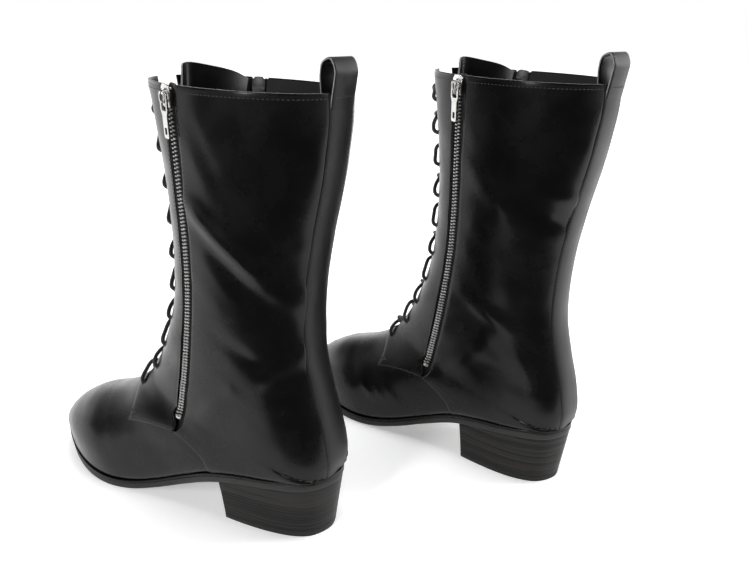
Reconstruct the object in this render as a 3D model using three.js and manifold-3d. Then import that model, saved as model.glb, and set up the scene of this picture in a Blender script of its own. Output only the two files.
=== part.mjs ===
// A pair of mid-calf lace-up boots with a zip on each side of the lace panel.
// Millimetres, +Z up. The toes point along -Y and the left boot stands on the +X side.
// Each boot is modelled in its own frame first: x forward from the heel, y towards the outside
// of the foot (lateral), z up from the floor. The right boot is the left one mirrored.
import * as THREE from "three";
import { mergeVertices } from "three/addons/utils/BufferGeometryUtils.js";
import Module from "manifold-3d";

const wasm = await Module();
wasm.setup();

// ---------------------------------------------------------------- driving dimensions

const SHAFT_RISE = 1; // scale of the shaft's height above the ankle
const LENGTH = 1; // scale of the foot's length
const GAP = 0.3; // free space between two pieces that touch on the real boot
const HIDDEN_GAP = 0.85; // the same inside the boot, where curved pieces lie on each other

const UPPER_T = 1.4; // upper leather
const STIFFENER_T = 0.6; // heel counter and toe puff
const LINING_T = 0.9; // lining leather
const TONGUE_T = 2; // padded tongue
const TONGUE_TOP = -0.32; // its top edge, in sections above the shaft's top line
const TONGUE_SLIDE = 34; // how far its top has slid round the leg
const TAB_T = 1.5; // pull tab strap
const TAB_W = 24;
const TAB_RISE = 20; // height of the loop above the top line
const WELT_T = 2;
const WELT_W = 9; // width of the welt strip, inwards from its edge
const WELT_OUT = 1.6; // how far the welt stands out past the upper
const OUTSOLE_T = 5.1;
const OUTSOLE_OUT = 1;
const INSOLE_T = 2;
const SOCK_T = 1.6;
const SHANK = { from: 30, to: 135, width: 14, thick: 1.4 };
const HEEL_FRONT = 75; // the heel's breast, from the back of the foot
const TOP_LIFT_T = 5; // rubber at the foot of the heel
const HEEL_FOOT = { back: 0.5, width: 0.87 }; // the heel's foot: its back, and its share of the seat's width

const STRIP_HALF = 12.5; // half width of the back strip
const EDGE_FROM_FRONT = 9; // facing's front edge, round the leg from the front centre line
const HOLES = 10; // lace holes in each facing
const HOLE_R = 2.2;
const HOLE_FROM_EDGE = 9;
const LACE_R = 1.45;
const SEAM_GAP = 0.4; // between two panels that meet edge to edge

const ZIP_OPENING = 12; // bare width between the two leather edges
const TAPE_W = 22;
const TAPE_T = 0.6;
const CHAIN_W = 5.4;
const CHAIN_T = 2.3;
const SLIT = 1.3; // between the two rows of teeth, where the slider's post runs
const SLIDER = { length: 13, width: 9.8, plate: 1, post: 0.6, clearance: 0.45 };
const PULLER = { length: 30, width: 7, thick: 1.3, eye: 11 };

const TOE_OUT = THREE.MathUtils.degToRad(5.95); // each boot is turned out by this
const RIGHT_BOOT_BACK = 111.5; // the right boot stands this far behind the left one
const BOOT_SPACING = 151;

// ---------------------------------------------------------------- the boot's outer surface

// One row per slanted section: the point on the front line (x, z), the point on the back or
// sole line (x, z), half width outside and inside, where along the section it is widest,
// roundness of the front and back quarters, half width of the sole edge outside and inside,
// and the y of the front line.
const rise = (z) => 150 + (z - 150) * (z > 150 ? SHAFT_RISE : 1);
const STATIONS = [
  [119, 314, -18.5, 306, 48, 48, 0.54, 2.05, 2.2, 0, 0, 0],
  [116, 284, -17, 284, 46.3, 46.3, 0.54, 2.05, 2.2, 0, 0, 0],
  [113.5, 250, -11, 251, 44.1, 44.1, 0.54, 2.05, 2.2, 0, 0, 0],
  [114, 216, -3, 218, 40.9, 40.9, 0.54, 2.05, 2.2, 0, 0, 0],
  [117, 186, 3, 187, 38.4, 38.2, 0.54, 2.05, 2.2, 0, 0, 0],
  [122, 161, 6, 158, 37, 36.8, 0.54, 2.05, 2.3, 0, 0, 0],
  [130.5, 139, 5.5, 131, 35.6, 35.2, 0.54, 2.1, 2.4, 0, 0, 0],
  [139.5, 121, 0.5, 106, 34.6, 34, 0.55, 2.1, 2.5, 0, 0, 0],
  [147.5, 109, -5, 83, 34.2, 33, 0.57, 2.1, 2.7, 0, 0, 0],
  [153.5, 101.5, -7.5, 63, 34, 32.6, 0.6, 2.1, 3, 0, 0, 0],
  [157.5, 97, -6, 50, 34, 32.4, 0.62, 2.1, 3.2, 0, 0, 0],
  [160.5, 94, 0, 49.8, 34, 32.4, 0.62, 2.1, 3.4, 17, 17, 0],
  [163.5, 91.5, 12, 49.4, 34, 32.4, 0.62, 2.1, 3.4, 25.5, 25.5, 0],
  [167, 88.5, 32, 48, 34.2, 32.4, 0.62, 2.1, 3.2, 30.5, 30, 0],
  [171, 85.5, 58, 45, 34.8, 32.2, 0.62, 2.1, 3, 32.6, 30.2, 0],
  [176, 82, 84, 38.5, 35.4, 32.6, 0.62, 2.1, 2.8, 32.2, 28.2, 0],
  [182.5, 78.5, 112, 27, 36, 34, 0.64, 2.1, 2.7, 30.6, 27.4, 0],
  [190.5, 75, 140, 16, 37.8, 36.4, 0.67, 2.1, 2.7, 32.6, 31.4, 0],
  [200, 71.5, 165, 9.6, 40, 38.4, 0.7, 2.1, 2.7, 37, 36, 0],
  [211, 68, 188, 8, 41, 39.4, 0.72, 2.1, 2.7, 39.2, 38, 0],
  [224, 63.5, 210, 9, 37.8, 36.6, 0.72, 2.1, 2.7, 36.4, 35.4, -0.3],
  [240, 55.5, 231, 11.6, 30.6, 30.2, 0.7, 2.1, 2.7, 29.2, 29, -0.8],
  [254, 45.5, 249, 15, 21, 22, 0.68, 2.1, 2.7, 19.6, 20.8, -1.4],
  [264.5, 35, 262, 18.2, 12.2, 14.4, 0.66, 2.1, 2.7, 11, 13.4, -1.8],
  [270.8, 26.8, 270, 20.4, 4.6, 7.8, 0.6, 2.1, 2.4, 4, 7.4, -2],
  [273.4, 22, 273.4, 21.8, -1.9, 2.1, 0.5, 2, 2, -1.9, 2.1, -2],
].map(([xf, zf, xr, zr, ...rest]) => [xf * LENGTH, rise(zf), xr * LENGTH, rise(zr), ...rest]);
const LAST = STATIONS.length - 1;
const HEEL = 10; // the section that ends on the sole's edge at the back of the heel
const QUARTER_STEPS = 14;

const catmull = (a, b, c, d, k) =>
  0.5 * (2 * b + (c - a) * k + (2 * a - 5 * b + 4 * c - d) * k * k + (3 * b - 3 * c + d - a) * k ** 3);

// The numbers of the section at t, where whole numbers of t are the rows of STATIONS.
function stationAt(t) {
  if (t < 0) return STATIONS[0].map((v, c) => v + t * (STATIONS[1][c] - v));
  const i = Math.min(Math.floor(t), LAST - 1);
  const row = (n) => STATIONS[Math.min(Math.max(n, 0), LAST)];
  return row(0).map((_, c) => {
    const isSoleEdge = c === 9 || c === 10;
    if (isSoleEdge && i < HEEL) return 0;
    // The sole's edge turns a corner behind the heel, and runs on from there as its mirror image.
    const isSole = isSoleEdge || c === 2 || c === 3;
    let a = i === 0 ? 2 * row(0)[c] - row(1)[c] : row(i - 1)[c];
    if (isSole && i === HEEL) a = (isSoleEdge ? -1 : 1) * row(HEEL + 1)[c];
    let d = i + 2 > LAST ? 2 * row(LAST)[c] - row(LAST - 1)[c] : row(i + 2)[c];
    if (isSole && i === HEEL - 1) d = 2 * row(HEEL)[c] - row(HEEL - 1)[c];
    return catmull(a, row(i)[c], row(i + 1)[c], d, t - i);
  });
}

const sections = new Map();
// Half of the section at t as points spaced by arc length: side 1 is outside, -1 is inside.
function halfSection(t, side) {
  const key = side * (Math.round(t * 1e5) + 1e6);
  if (sections.has(key)) return sections.get(key);
  const [xf, zf, xr, zr, wOut, wIn, widest, nFront, nBack, eOut, eIn, ridgeY] = stationAt(t);
  const [w, e] = side > 0 ? [wOut, eOut] : [wIn, eIn];
  const points = [];
  const put = (v, y) => points.push([xf + v * (xr - xf), side * y, zf + v * (zr - zf)]);
  const ridge = side * ridgeY;
  for (let k = 0; k <= QUARTER_STEPS; k++) {
    const a = (k / QUARTER_STEPS) * (Math.PI / 2);
    put(
      widest * (1 - Math.cos(a) ** (2 / nFront)),
      ridge + (w - ridge) * Math.sin(a) ** (2 / nFront),
    );
  }
  for (let k = 1; k <= QUARTER_STEPS; k++) {
    const a = (k / QUARTER_STEPS) * (Math.PI / 2);
    put(
      widest + (1 - widest) * Math.sin(a) ** (2 / nBack),
      e + (w - e) * Math.max(0, Math.cos(a)) ** (2 / nBack),
    );
  }
  const along = [0];
  for (let k = 1; k < points.length; k++)
    along.push(along[k - 1] + Math.hypot(...points[k].map((v, c) => v - points[k - 1][c])));
  const made = { points, along, length: along.at(-1) };
  sections.set(key, made);
  return made;
}

const girth = (t, side) => halfSection(t, side).length;

// The surface point at section t and u: 0 at the front, 1 at the back or sole edge on the
// outside, -1 on the inside. Past 1 it goes on round the back.
function surface(t, u) {
  const round = u > 1 ? u - 2 : u < -1 ? u + 2 : u;
  const { points, along, length } = halfSection(t, round < 0 ? -1 : 1);
  const d = Math.abs(round) * length;
  let k = 1;
  while (k < along.length - 1 && along[k] < d) k++;
  const f = (d - along[k - 1]) / (along[k] - along[k - 1] || 1);
  return points[k].map((v, c) => points[k - 1][c] + f * (v - points[k - 1][c]));
}

// The outward normal at t and u.
function normal(t, u) {
  const du = 0.03;
  const dt = 0.05;
  const onSole = t > HEEL;
  const u1 = onSole ? Math.min(u + du, 1) : u + du;
  const u0 = onSole ? Math.max(u - du, -1) : u - du;
  const t1 = Math.min(t + dt, LAST - 0.02);
  const t0 = t1 - 2 * dt;
  const across = new THREE.Vector3(...surface(t, u1)).sub(new THREE.Vector3(...surface(t, u0)));
  const down = new THREE.Vector3(...surface(t1, u)).sub(new THREE.Vector3(...surface(t0, u)));
  const n = down.cross(across);
  return n.lengthSq() < 1e-12 ? new THREE.Vector3(1, 0, 0) : n.normalize();
}

const offsetPoint = (t, u, out) => {
  const n = normal(t, u);
  const p = surface(t, u);
  return [p[0] + out * n.x, p[1] + out * n.y, p[2] + out * n.z];
};

// ---------------------------------------------------------------- meshes and solids

// A closed geometry from points and triangles, turned so that its faces point out.
function closed(points, triangles) {
  const index = triangles.filter(([a, b, c]) => a !== b && b !== c && a !== c);
  let volume = 0;
  for (const [a, b, c] of index) {
    const [p, q, r] = [points[a], points[b], points[c]];
    volume += p[0] * (q[1] * r[2] - q[2] * r[1]);
    volume += p[1] * (q[2] * r[0] - q[0] * r[2]) + p[2] * (q[0] * r[1] - q[1] * r[0]);
  }
  const turned = volume < 0 ? index.map(([a, b, c]) => [a, c, b]) : index;
  const geometry = new THREE.BufferGeometry();
  geometry.setAttribute("position", new THREE.Float32BufferAttribute(points.flat(), 3));
  geometry.setIndex(turned.flat());
  return geometry;
}

function solid(geometry) {
  const bare = geometry.index ? geometry.toNonIndexed() : geometry.clone();
  bare.deleteAttribute("normal");
  bare.deleteAttribute("uv");
  const merged = mergeVertices(bare, 1e-4);
  const ids = merged.index.array;
  const kept = [];
  for (let i = 0; i < ids.length; i += 3)
    if (ids[i] !== ids[i + 1] && ids[i + 1] !== ids[i + 2] && ids[i] !== ids[i + 2])
      kept.push(ids[i], ids[i + 1], ids[i + 2]);
  return new wasm.Manifold(
    new wasm.Mesh({
      numProp: 3,
      vertProperties: merged.attributes.position.array,
      triVerts: new Uint32Array(kept),
    }),
  );
}

function geometryOf(manifold) {
  const mesh = manifold.getMesh();
  const geometry = new THREE.BufferGeometry();
  geometry.setAttribute("position", new THREE.BufferAttribute(mesh.vertProperties, 3));
  geometry.setIndex(new THREE.BufferAttribute(mesh.triVerts, 1));
  return geometry;
}

// A grid of points with a second grid under it, closed round the rim.
function slab(top, bottom) {
  const rows = top.length;
  const cols = top[0].length;
  const points = [...top.flat(), ...bottom.flat()];
  const at = (i, j, layer) => layer * rows * cols + i * cols + j;
  const triangles = [];
  const quad = (a, b, c, d) => triangles.push([a, b, c], [a, c, d]);
  for (let i = 0; i + 1 < rows; i++)
    for (let j = 0; j + 1 < cols; j++) {
      quad(at(i, j, 0), at(i, j + 1, 0), at(i + 1, j + 1, 0), at(i + 1, j, 0));
      quad(at(i, j, 1), at(i + 1, j, 1), at(i + 1, j + 1, 1), at(i, j + 1, 1));
    }
  for (let i = 0; i + 1 < rows; i++) {
    quad(at(i, 0, 0), at(i + 1, 0, 0), at(i + 1, 0, 1), at(i, 0, 1));
    quad(at(i + 1, cols - 1, 0), at(i, cols - 1, 0), at(i, cols - 1, 1), at(i + 1, cols - 1, 1));
  }
  for (let j = 0; j + 1 < cols; j++) {
    quad(at(0, j + 1, 0), at(0, j, 0), at(0, j, 1), at(0, j + 1, 1));
    quad(at(rows - 1, j, 0), at(rows - 1, j + 1, 0), at(rows - 1, j + 1, 1), at(rows - 1, j, 1));
  }
  return closed(points, triangles);
}

// A sheet that follows the boot's surface: cells holds [t, u], outer and inner are offsets
// from the surface, as numbers or as functions of the row and column shares.
function sheet(cells, outer, inner) {
  const layer = (offset) =>
    cells.map((row, i) =>
      row.map(([t, u], j) => {
        const share = [i / (cells.length - 1), j / (row.length - 1)];
        return offsetPoint(t, u, typeof offset === "function" ? offset(...share) : offset);
      }),
    );
  return slab(layer(outer), layer(inner));
}

const steps = (n, from = 0, to = 1) =>
  Array.from({ length: n + 1 }, (_, i) => from + ((to - from) * i) / n);

// Points spaced evenly along a run of [a, b] pairs.
function spaced(pairs, n) {
  const along = [0];
  for (let k = 1; k < pairs.length; k++) {
    const [p, q] = [surface(...pairs[k - 1]), surface(...pairs[k])];
    along.push(along[k - 1] + Math.hypot(q[0] - p[0], q[1] - p[1], q[2] - p[2]));
  }
  return steps(n).map((s) => {
    const d = s * along.at(-1);
    let k = 1;
    while (k < along.length - 1 && along[k] < d) k++;
    const f = (d - along[k - 1]) / (along[k] - along[k - 1] || 1);
    return pairs[k].map((v, c) => pairs[k - 1][c] + f * (v - pairs[k - 1][c]));
  });
}

// A grid of [t, u] that fills the space between four edges.
function fill(top, bottom, left, right, rows, cols) {
  const [a, b] = [spaced(top, cols), spaced(bottom, cols)];
  const [l, r] = [spaced(left, rows), spaced(right, rows)];
  return steps(rows).map((i, m) =>
    steps(cols).map((j, n) =>
      [0, 1].map(
        (c) =>
          (1 - i) * a[n][c] + i * b[n][c] + (1 - j) * l[m][c] + j * r[m][c] -
          (1 - i) * ((1 - j) * a[0][c] + j * a.at(-1)[c]) -
          i * ((1 - j) * b[0][c] + j * b.at(-1)[c]),
      ),
    ),
  );
}

// ---------------------------------------------------------------- seams on the surface

// u where the section at t reaches a value of x, going back from the front.
function uAtX(t, x, side) {
  let [low, high] = [0, 0.97];
  for (let k = 0; k < 30; k++) {
    const mid = (low + high) / 2;
    if (surface(t, side * mid)[0] > x) low = mid;
    else high = mid;
  }
  return side * low;
}

// u where the section at t, going round the back, is y from the centre plane.
function uAtBack(t, y) {
  const side = y < 0 ? -1 : 1;
  let [low, high] = [0.6, 1];
  for (let k = 0; k < 30; k++) {
    const mid = (low + high) / 2;
    if (Math.abs(surface(t, side * mid)[1]) > Math.abs(y)) low = mid;
    else high = mid;
  }
  return side * low;
}

// [t, u] of the surface point that a side view shows at x, z.
function locate(x, z, side) {
  let best = [0, 0, Infinity];
  const look = (t0, t1, u0, u1, n) => {
    for (const t of steps(n, Math.max(t0, 0), Math.min(t1, LAST - 1)))
      for (const u of steps(n, Math.max(u0, 0.02), Math.min(u1, 1))) {
        const p = surface(t, side * u);
        const miss = Math.hypot(p[0] - x, p[2] - z);
        if (miss < best[2]) best = [t, side * u, miss];
      }
  };
  look(0, LAST - 1, 0.02, 1, 40);
  for (let reach = 0.6; reach > 1e-4; reach *= 0.45)
    look(best[0] - reach, best[0] + reach, Math.abs(best[1]) - reach / 20, Math.abs(best[1]) + reach / 20, 6);
  return best.slice(0, 2);
}

// The zip's centre line: its x at each of the first sections, down to where it ends.
const ZIP_X = [
  74, 76, 78.6, 81.2, 84.6, 89, 94, 99, 103.4, 106.6, 108.5, 109.4, 110.2, 110.8,
].map((x) => x * LENGTH);
const ZIP_END = 12;
const zipX = (t) => {
  const i = Math.min(Math.max(Math.floor(t), 0), ZIP_X.length - 2);
  return ZIP_X[i] + (t - i) * (ZIP_X[i + 1] - ZIP_X[i]);
};
const zipU = (t, side) => uAtX(t, zipX(t), side);
// u at a distance round the leg from the zip's centre line, away from the front if positive.
const besideZip = (t, side, distance) => zipU(t, side) + (side * distance) / girth(t, side);

// The vamp's seam in side view, from the throat's corner back to the heel's breast.
const VAMP_SEAM = [
  [162, 61], [150, 63.5], [136, 65], [122, 65.4], [112, 64.4], [104.5, 61.6], [95, 56], [86, 49.6],
].map(([x, z]) => [x * LENGTH, z]);
const THROAT = 13.6; // the section where the facings' front edges leave the front line

const frontEdge = (side, from, to, n) =>
  steps(n, from, to).map((t) => [t, (side * EDGE_FROM_FRONT) / girth(t, side)]);

function seams(side) {
  const seam = VAMP_SEAM.map(([x, z]) => locate(x, z, side));
  const feather = [seam.at(-1)[0] + 0.55, side];
  return { seam: [...seam, feather], split: 4 };
}

// ---------------------------------------------------------------- upper pieces

const TOP = 0;

const zipEdge = (side, distance) =>
  steps(14, TOP, ZIP_END + 0.2).map((t) => [t, besideZip(t, side, distance)]);

function facing(side) {
  const { seam, split } = seams(side);
  const bottomZip = locate(113.4 * LENGTH, 66.6, side);
  const rear = [...zipEdge(side, -ZIP_OPENING / 2), bottomZip];
  const nudge = ([t, u]) => [t - 0.12, u];
  const corner = nudge(seam[0]);
  const front = [...frontEdge(side, TOP, THROAT, 12), corner];
  const top = [front[0], rear[0]];
  const bottom = [corner, ...seam.slice(1, split).map(nudge), bottomZip];
  const body = solid(sheet(fill(top, bottom, front, rear, 12, 3), 0, -UPPER_T));
  const holes = laceHoles(side).map(([t, u]) => holeCutter(t, u));
  return geometryOf(holes.reduce((made, hole) => made.subtract(hole), body));
}

// Where the lace holes are: evenly spaced up the facing's front edge.
function laceHoles(side) {
  const line = spaced(
    steps(40, 0.75, THROAT - 0.6).map((t) => [
      t,
      (side * (EDGE_FROM_FRONT + HOLE_FROM_EDGE)) / girth(t, side),
    ]),
    HOLES - 1,
  );
  return line;
}

function holeCutter(t, u) {
  const cutter = new THREE.CylinderGeometry(HOLE_R, HOLE_R, 6, 8);
  const turn = new THREE.Quaternion().setFromUnitVectors(new THREE.Vector3(0, 1, 0), normal(t, u));
  cutter.applyQuaternion(turn).translate(...surface(t, u));
  return solid(cutter);
}

function quarter(side) {
  const { seam, split } = seams(side);
  const lower = seam.slice(split);
  const front = [...zipEdge(side, ZIP_OPENING / 2), lower[0]];
  const soleStart = lower.at(-1)[0];
  const stripEnd = soleEdgeAt(STRIP_HALF + SEAM_GAP, side);
  const sole = steps(6, soleStart, stripEnd).map((t) => [t, side]);
  const besideStrip = side * (STRIP_HALF + SEAM_GAP);
  const back = steps(14, TOP, HEEL + 0.3).map((t) => [t, uAtBack(t, besideStrip)]);
  back.push([stripEnd, side]);
  const top = [front[0], back[0]];
  return sheet(fill(top, [...lower, ...sole.slice(1)], front, back, 12, 7), 0, -UPPER_T);
}

// t where the sole's edge behind the heel is y from the centre plane.
function soleEdgeAt(y, side) {
  let [low, high] = [HEEL, HEEL + 2];
  for (let k = 0; k < 30; k++) {
    const mid = (low + high) / 2;
    if (stationAt(mid)[side > 0 ? 9 : 10] < y) low = mid;
    else high = mid;
  }
  return low;
}

function backStrip() {
  const columns = steps(4, -STRIP_HALF, STRIP_HALF);
  const cells = steps(13).map((s) =>
    columns.map((y) => {
      const end = Math.abs(y) < 0.1 ? HEEL : soleEdgeAt(Math.abs(y), Math.sign(y));
      const t = TOP + 0.02 + s * (end - TOP - 0.02);
      return [t, Math.abs(y) < 0.1 ? 1 : uAtBack(t, y)];
    }),
  );
  return sheet(cells, 0, -UPPER_T);
}

function vamp() {
  const edge = (side) => {
    const { seam } = seams(side);
    const nudge = ([t, u]) => [t + 0.1, u];
    const throat = frontEdge(side, THROAT + 0.15, THROAT + 0.15, 1)[0];
    return [[THROAT + 0.15, 0], throat, ...seam.slice(0, -1).map(nudge), [seam.at(-1)[0] + 0.12, side]];
  };
  const [out, inn] = [edge(1), edge(-1)];
  const rows = 11;
  const half = (run) => [
    ...spaced(run.slice(0, 2), 1),
    ...spaced(run.slice(1, 3), 2).slice(1),
    ...spaced(run.slice(2), 5).slice(1),
  ];
  const start = [...half(inn).slice(1).reverse(), ...half(out)];
  const cols = start.length - 1;
  const tip = LAST - 0.06;
  const cells = steps(rows).map((s) =>
    start.map(([t, u], n) => {
      const across = (2 * n) / cols - 1;
      return [t + s * (tip - t), u + Math.min(1, s * 1.6) * (across - u)];
    }),
  );
  return sheet(cells, 0, -UPPER_T);
}

function tongue(sidewise) {
  // The tongue hangs from the throat. Its top has slid round towards one side of the leg.
  const rows = 15;
  const cells = steps(rows).map((s) => {
    const t = TONGUE_TOP + s * (THROAT + 0.6 - TONGUE_TOP);
    const slide = TONGUE_SLIDE * Math.max(0, 1 - s * 2.2) ** 1.5;
    const half = 27 - 5 * s;
    return steps(5, -1, 1).map((a) => {
      const d = a * half + sidewise * slide;
      const side = d < 0 ? -1 : 1;
      // Its top edge falls towards the side it leans to.
      const fall = 0.14 * Math.abs(a) ** 4 + 0.12 * (1 + a * sidewise);
      const droop = fall * Math.max(0, 1 - s * 5);
      const at = t + droop;
      return [at, d / girth(Math.max(at, 0), side)];
    });
  });
  const deep = () => -(UPPER_T + 2 * LACE_R + 2 * HIDDEN_GAP);
  return sheet(cells, deep, () => deep() - TONGUE_T);
}

function pullTab() {
  const xr = stationAt(0)[2];
  // The strap bends round the back of the shaft.
  const half = TAB_W / 2;
  const curve = (surface(0, uAtBack(0, half))[0] - xr) / half ** 2;
  const topZ = stationAt(0)[3];
  // The strap's line: up the outside, over, and down the inside of the shaft.
  const line = new THREE.CatmullRomCurve3(
    [
      [-0.5, -14, 1], [-1.3, -2, 1], [-2.6, 6, 0.8], [-2.8, TAB_RISE - 7.5, 0.4], [0.6, TAB_RISE - 1.2, 0.15],
      [5.6, TAB_RISE - 3.4, 0.2], [7.6, TAB_RISE - 10, 0.4], [7.4, 3, 0.8], [8, -4, 1], [9.6, -16, 1],
    ].map(([x, z, c]) => new THREE.Vector3(xr + x, c, topZ + z)),
    false,
    "centripetal",
  );
  const grid = (out) =>
    steps(13).map((s) => {
      const p = line.getPoint(s);
      const along = line.getTangent(s);
      const n = new THREE.Vector2(-along.z, along.x).normalize();
      return steps(2, -TAB_W / 2, TAB_W / 2).map((y) => [
        p.x + out * n.x + p.y * curve * y * y,
        y,
        p.z + out * n.y,
      ]);
    });
  return slab(grid(TAB_T / 2), grid(-TAB_T / 2));
}

// The closed form of the whole foot and leg, moved in by a distance.
function form(extra, top) {
  const ring = 8;
  const foot = SOLE_ROWS.slice(0, -3).filter((t) => t < 11 || t % 1 === 0);
  const rows = [top, 2, 4, 5.5, 7, 8, 9, 9.7, ...foot, LAST - 0.9];
  const points = [];
  const put = (t, u) => {
    const inset = liningAt(t) + extra;
    const [x, y, z] = offsetPoint(t, u, -inset);
    points.push([x, y, Math.max(z, edgeHeight(x) + inset)]);
  };
  for (const t of rows) {
    for (const u of steps(ring)) put(t, u);
    for (const u of steps(ring, -1, 0).slice(0, -1)) put(t, u);
  }
  const width = 2 * ring + 1;
  const first = points.length;
  points.push(average(points.slice(0, width)), average(points.slice(first - width, first)));
  const triangles = [];
  for (let i = 0; i + 1 < rows.length; i++)
    for (let j = 0; j < width; j++) {
      const [a, b] = [i * width + j, i * width + ((j + 1) % width)];
      triangles.push([a, b, b + width], [a, b + width, a + width]);
    }
  for (let j = 0; j < width; j++) {
    const next = (j + 1) % width;
    triangles.push([first, next, j]);
    triangles.push([first + 1, (rows.length - 1) * width + j, (rows.length - 1) * width + next]);
  }
  return solid(closed(points, triangles));
}

const average = (points) =>
  [0, 1, 2].map((c) => points.reduce((sum, p) => sum + p[c], 0) / points.length);

// The lining's outer face, in from the surface: closer on the shaft than round the foot.
function liningAt(t) {
  const foot = UPPER_T + 2 * HIDDEN_GAP + STIFFENER_T + 0.65;
  const shaft = TAPE_AT + TAPE_T + 2 * GAP;
  return shaft + (foot - shaft) * THREE.MathUtils.smoothstep(t, 4, 7.6);
}

const DEEPEST = 8; // past the lining, measured in from the surface

function lining() {
  let made = form(0, 0.06).subtract(form(LINING_T, -0.4));
  // Open at the front behind the laces, and behind both zips where the sliders run.
  const slot = steps(12, -0.5, THROAT + 0.95).map((t) =>
    steps(4, -1, 1).map((a) => [t, (a * (EDGE_FROM_FRONT + HOLE_FROM_EDGE + 6)) / girth(Math.max(t, 0), 1)]),
  );
  made = made.subtract(solid(sheet(slot, 1, -DEEPEST)));
  for (const side of [1, -1]) {
    const run = steps(6, -0.5, 3.7).map((t) =>
      [-7, 7].map((d) => [t, besideZip(Math.max(t, 0), side, d)]),
    );
    made = made.subtract(solid(sheet(run, 1, -DEEPEST)));
  }
  return geometryOf(made);
}

const STIFFENER_AT = UPPER_T + HIDDEN_GAP;

function counter() {
  const rows = steps(4, 7.6, HEEL - 0.9);
  const cells = rows.map((t) =>
    steps(10, -1, 1).map((a) => {
      const reach = 0.42 + 0.1 * ((t - 7.6) / 2.3);
      return [t, 1 + a * reach];
    }),
  );
  return sheet(cells, -STIFFENER_AT, -STIFFENER_AT - STIFFENER_T);
}

function toePuff() {
  const cells = steps(4, 20.2, LAST - 1.1).map((t) => steps(10, -0.88, 0.88).map((u) => [t, u]));
  return sheet(cells, -STIFFENER_AT, -STIFFENER_AT - STIFFENER_T);
}

// ---------------------------------------------------------------- sole and heel

// The section whose sole edge is at x.
function soleSection(x) {
  let [low, high] = [HEEL, LAST];
  for (let k = 0; k < 30; k++) {
    const mid = (low + high) / 2;
    if (stationAt(mid)[2] < x) low = mid;
    else high = mid;
  }
  return low;
}

// Height of the sole's edge line above the floor at x.
const edgeHeight = (x) => stationAt(soleSection(x))[3];

// The sections the sole's outline is drawn through, from the heel to the toe.
const SOLE_ROWS = [
  10, 10.35, 11, 11.5, 12, 13, 14, 14.5, 15, 15.5, 16, 17, 18, 19, 20, 21, 22, 23, 24, 24.6, 24.98,
];

// The sole's outline pushed out by a distance, from the heel round the outside to the toe and
// back along the inside: [x, y] pairs, in two runs with the same number of points.
function outline(out, sections) {
  const run = (side) =>
    sections.map((t) => {
      const s = (v) => {
        const row = stationAt(THREE.MathUtils.clamp(v, HEEL, LAST));
        return [row[2], side * row[side > 0 ? 9 : 10]];
      };
      const [p, q, r] = [s(t), s(t - 0.04), s(t + 0.04)];
      const tangent = new THREE.Vector2(r[0] - q[0], r[1] - q[1]).normalize();
      return [p[0] + out * side * -tangent.y, p[1] + out * side * tangent.x];
    });
  return { outer: run(1), inner: run(-1) };
}

// A plate that follows the sole's edge line, between two depths under it.
function plate(out, topDrop, bottomDrop, sections = SOLE_ROWS) {
  const { outer, inner } = outline(out, sections);
  const level = (drop) =>
    outer.map((p, i) =>
      steps(2).map((s) => {
        const q = inner[i];
        const x = p[0] + s * (q[0] - p[0]);
        return [x, p[1] + s * (q[1] - p[1]), edgeHeight(x) - drop];
      }),
    );
  return slab(level(topDrop), level(bottomDrop));
}

const WELT_TOP = 2 * GAP;
const OUTSOLE_TOP = WELT_TOP + WELT_T + GAP;
const OUTSOLE_BOTTOM = OUTSOLE_TOP + OUTSOLE_T;

function welt() {
  const whole = solid(plate(WELT_OUT, WELT_TOP, WELT_TOP + WELT_T));
  const middle = solid(plate(WELT_OUT - WELT_W, WELT_TOP - 3, WELT_TOP + WELT_T + 3, SOLE_ROWS.slice(2, -2)));
  return geometryOf(whole.subtract(middle));
}

function strip(from, to, halfWidth, topDrop, bottomDrop, n) {
  const level = (drop) =>
    steps(n, from, to).map((x) => {
      const half = halfWidth(x);
      return steps(2, -half, half).map((y) => [x, y, edgeHeight(x) - drop]);
    });
  return slab(level(topDrop), level(bottomDrop));
}

function heelBlock(topDrop, bottomZ, topIsFlatAt) {
  // Rings of the heel: the seat's outline at the top tapers to a smaller foot.
  const n = 7;
  const { outer, inner } = outline(OUTSOLE_OUT - 0.4, steps(200, HEEL, LAST - 0.02));
  const keep = (run) => {
    const inside = run.filter(([x]) => x < HEEL_FRONT * LENGTH);
    return steps(n).map((s) => inside[Math.round(s * (inside.length - 1))]);
  };
  const seat = [...keep(outer), ...keep(inner).reverse()];
  const back = seat[0][0];
  const front = HEEL_FRONT * LENGTH;
  const squared = seat.map(([x, y], i) => [i === n || i === n + 1 ? front : x, y]);
  const seatTop = ([x]) => edgeHeight(x) - OUTSOLE_BOTTOM - GAP - 0.2;
  const at = (p, z) => {
    const share = THREE.MathUtils.clamp(z / seatTop(p), 0, 1);
    const footX = HEEL_FOOT.back + ((p[0] - back) / (front - back)) * (front - HEEL_FOOT.back);
    const narrow = HEEL_FOOT.width + (1 - HEEL_FOOT.width) * share;
    return [footX + share * (p[0] - footX), p[1] * narrow, z];
  };
  const upper = squared.map((p) => at(p, topIsFlatAt ?? seatTop(p) - topDrop));
  const lower = squared.map((p) => at(p, bottomZ));
  const half = squared.length / 2;
  const rows = (ring) => steps(half - 1).map((_, i) => [ring[i], ring[ring.length - 1 - i]]);
  return slab(rows(upper), rows(lower));
}

// ---------------------------------------------------------------- lace

// A curve that is sampled at its own points, however far apart they are.
class Route extends THREE.CatmullRomCurve3 {
  getPointAt(share, target) {
    return this.getPoint(share, target);
  }
  getTangentAt(share, target) {
    return this.getTangent(share, target);
  }
}

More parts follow.
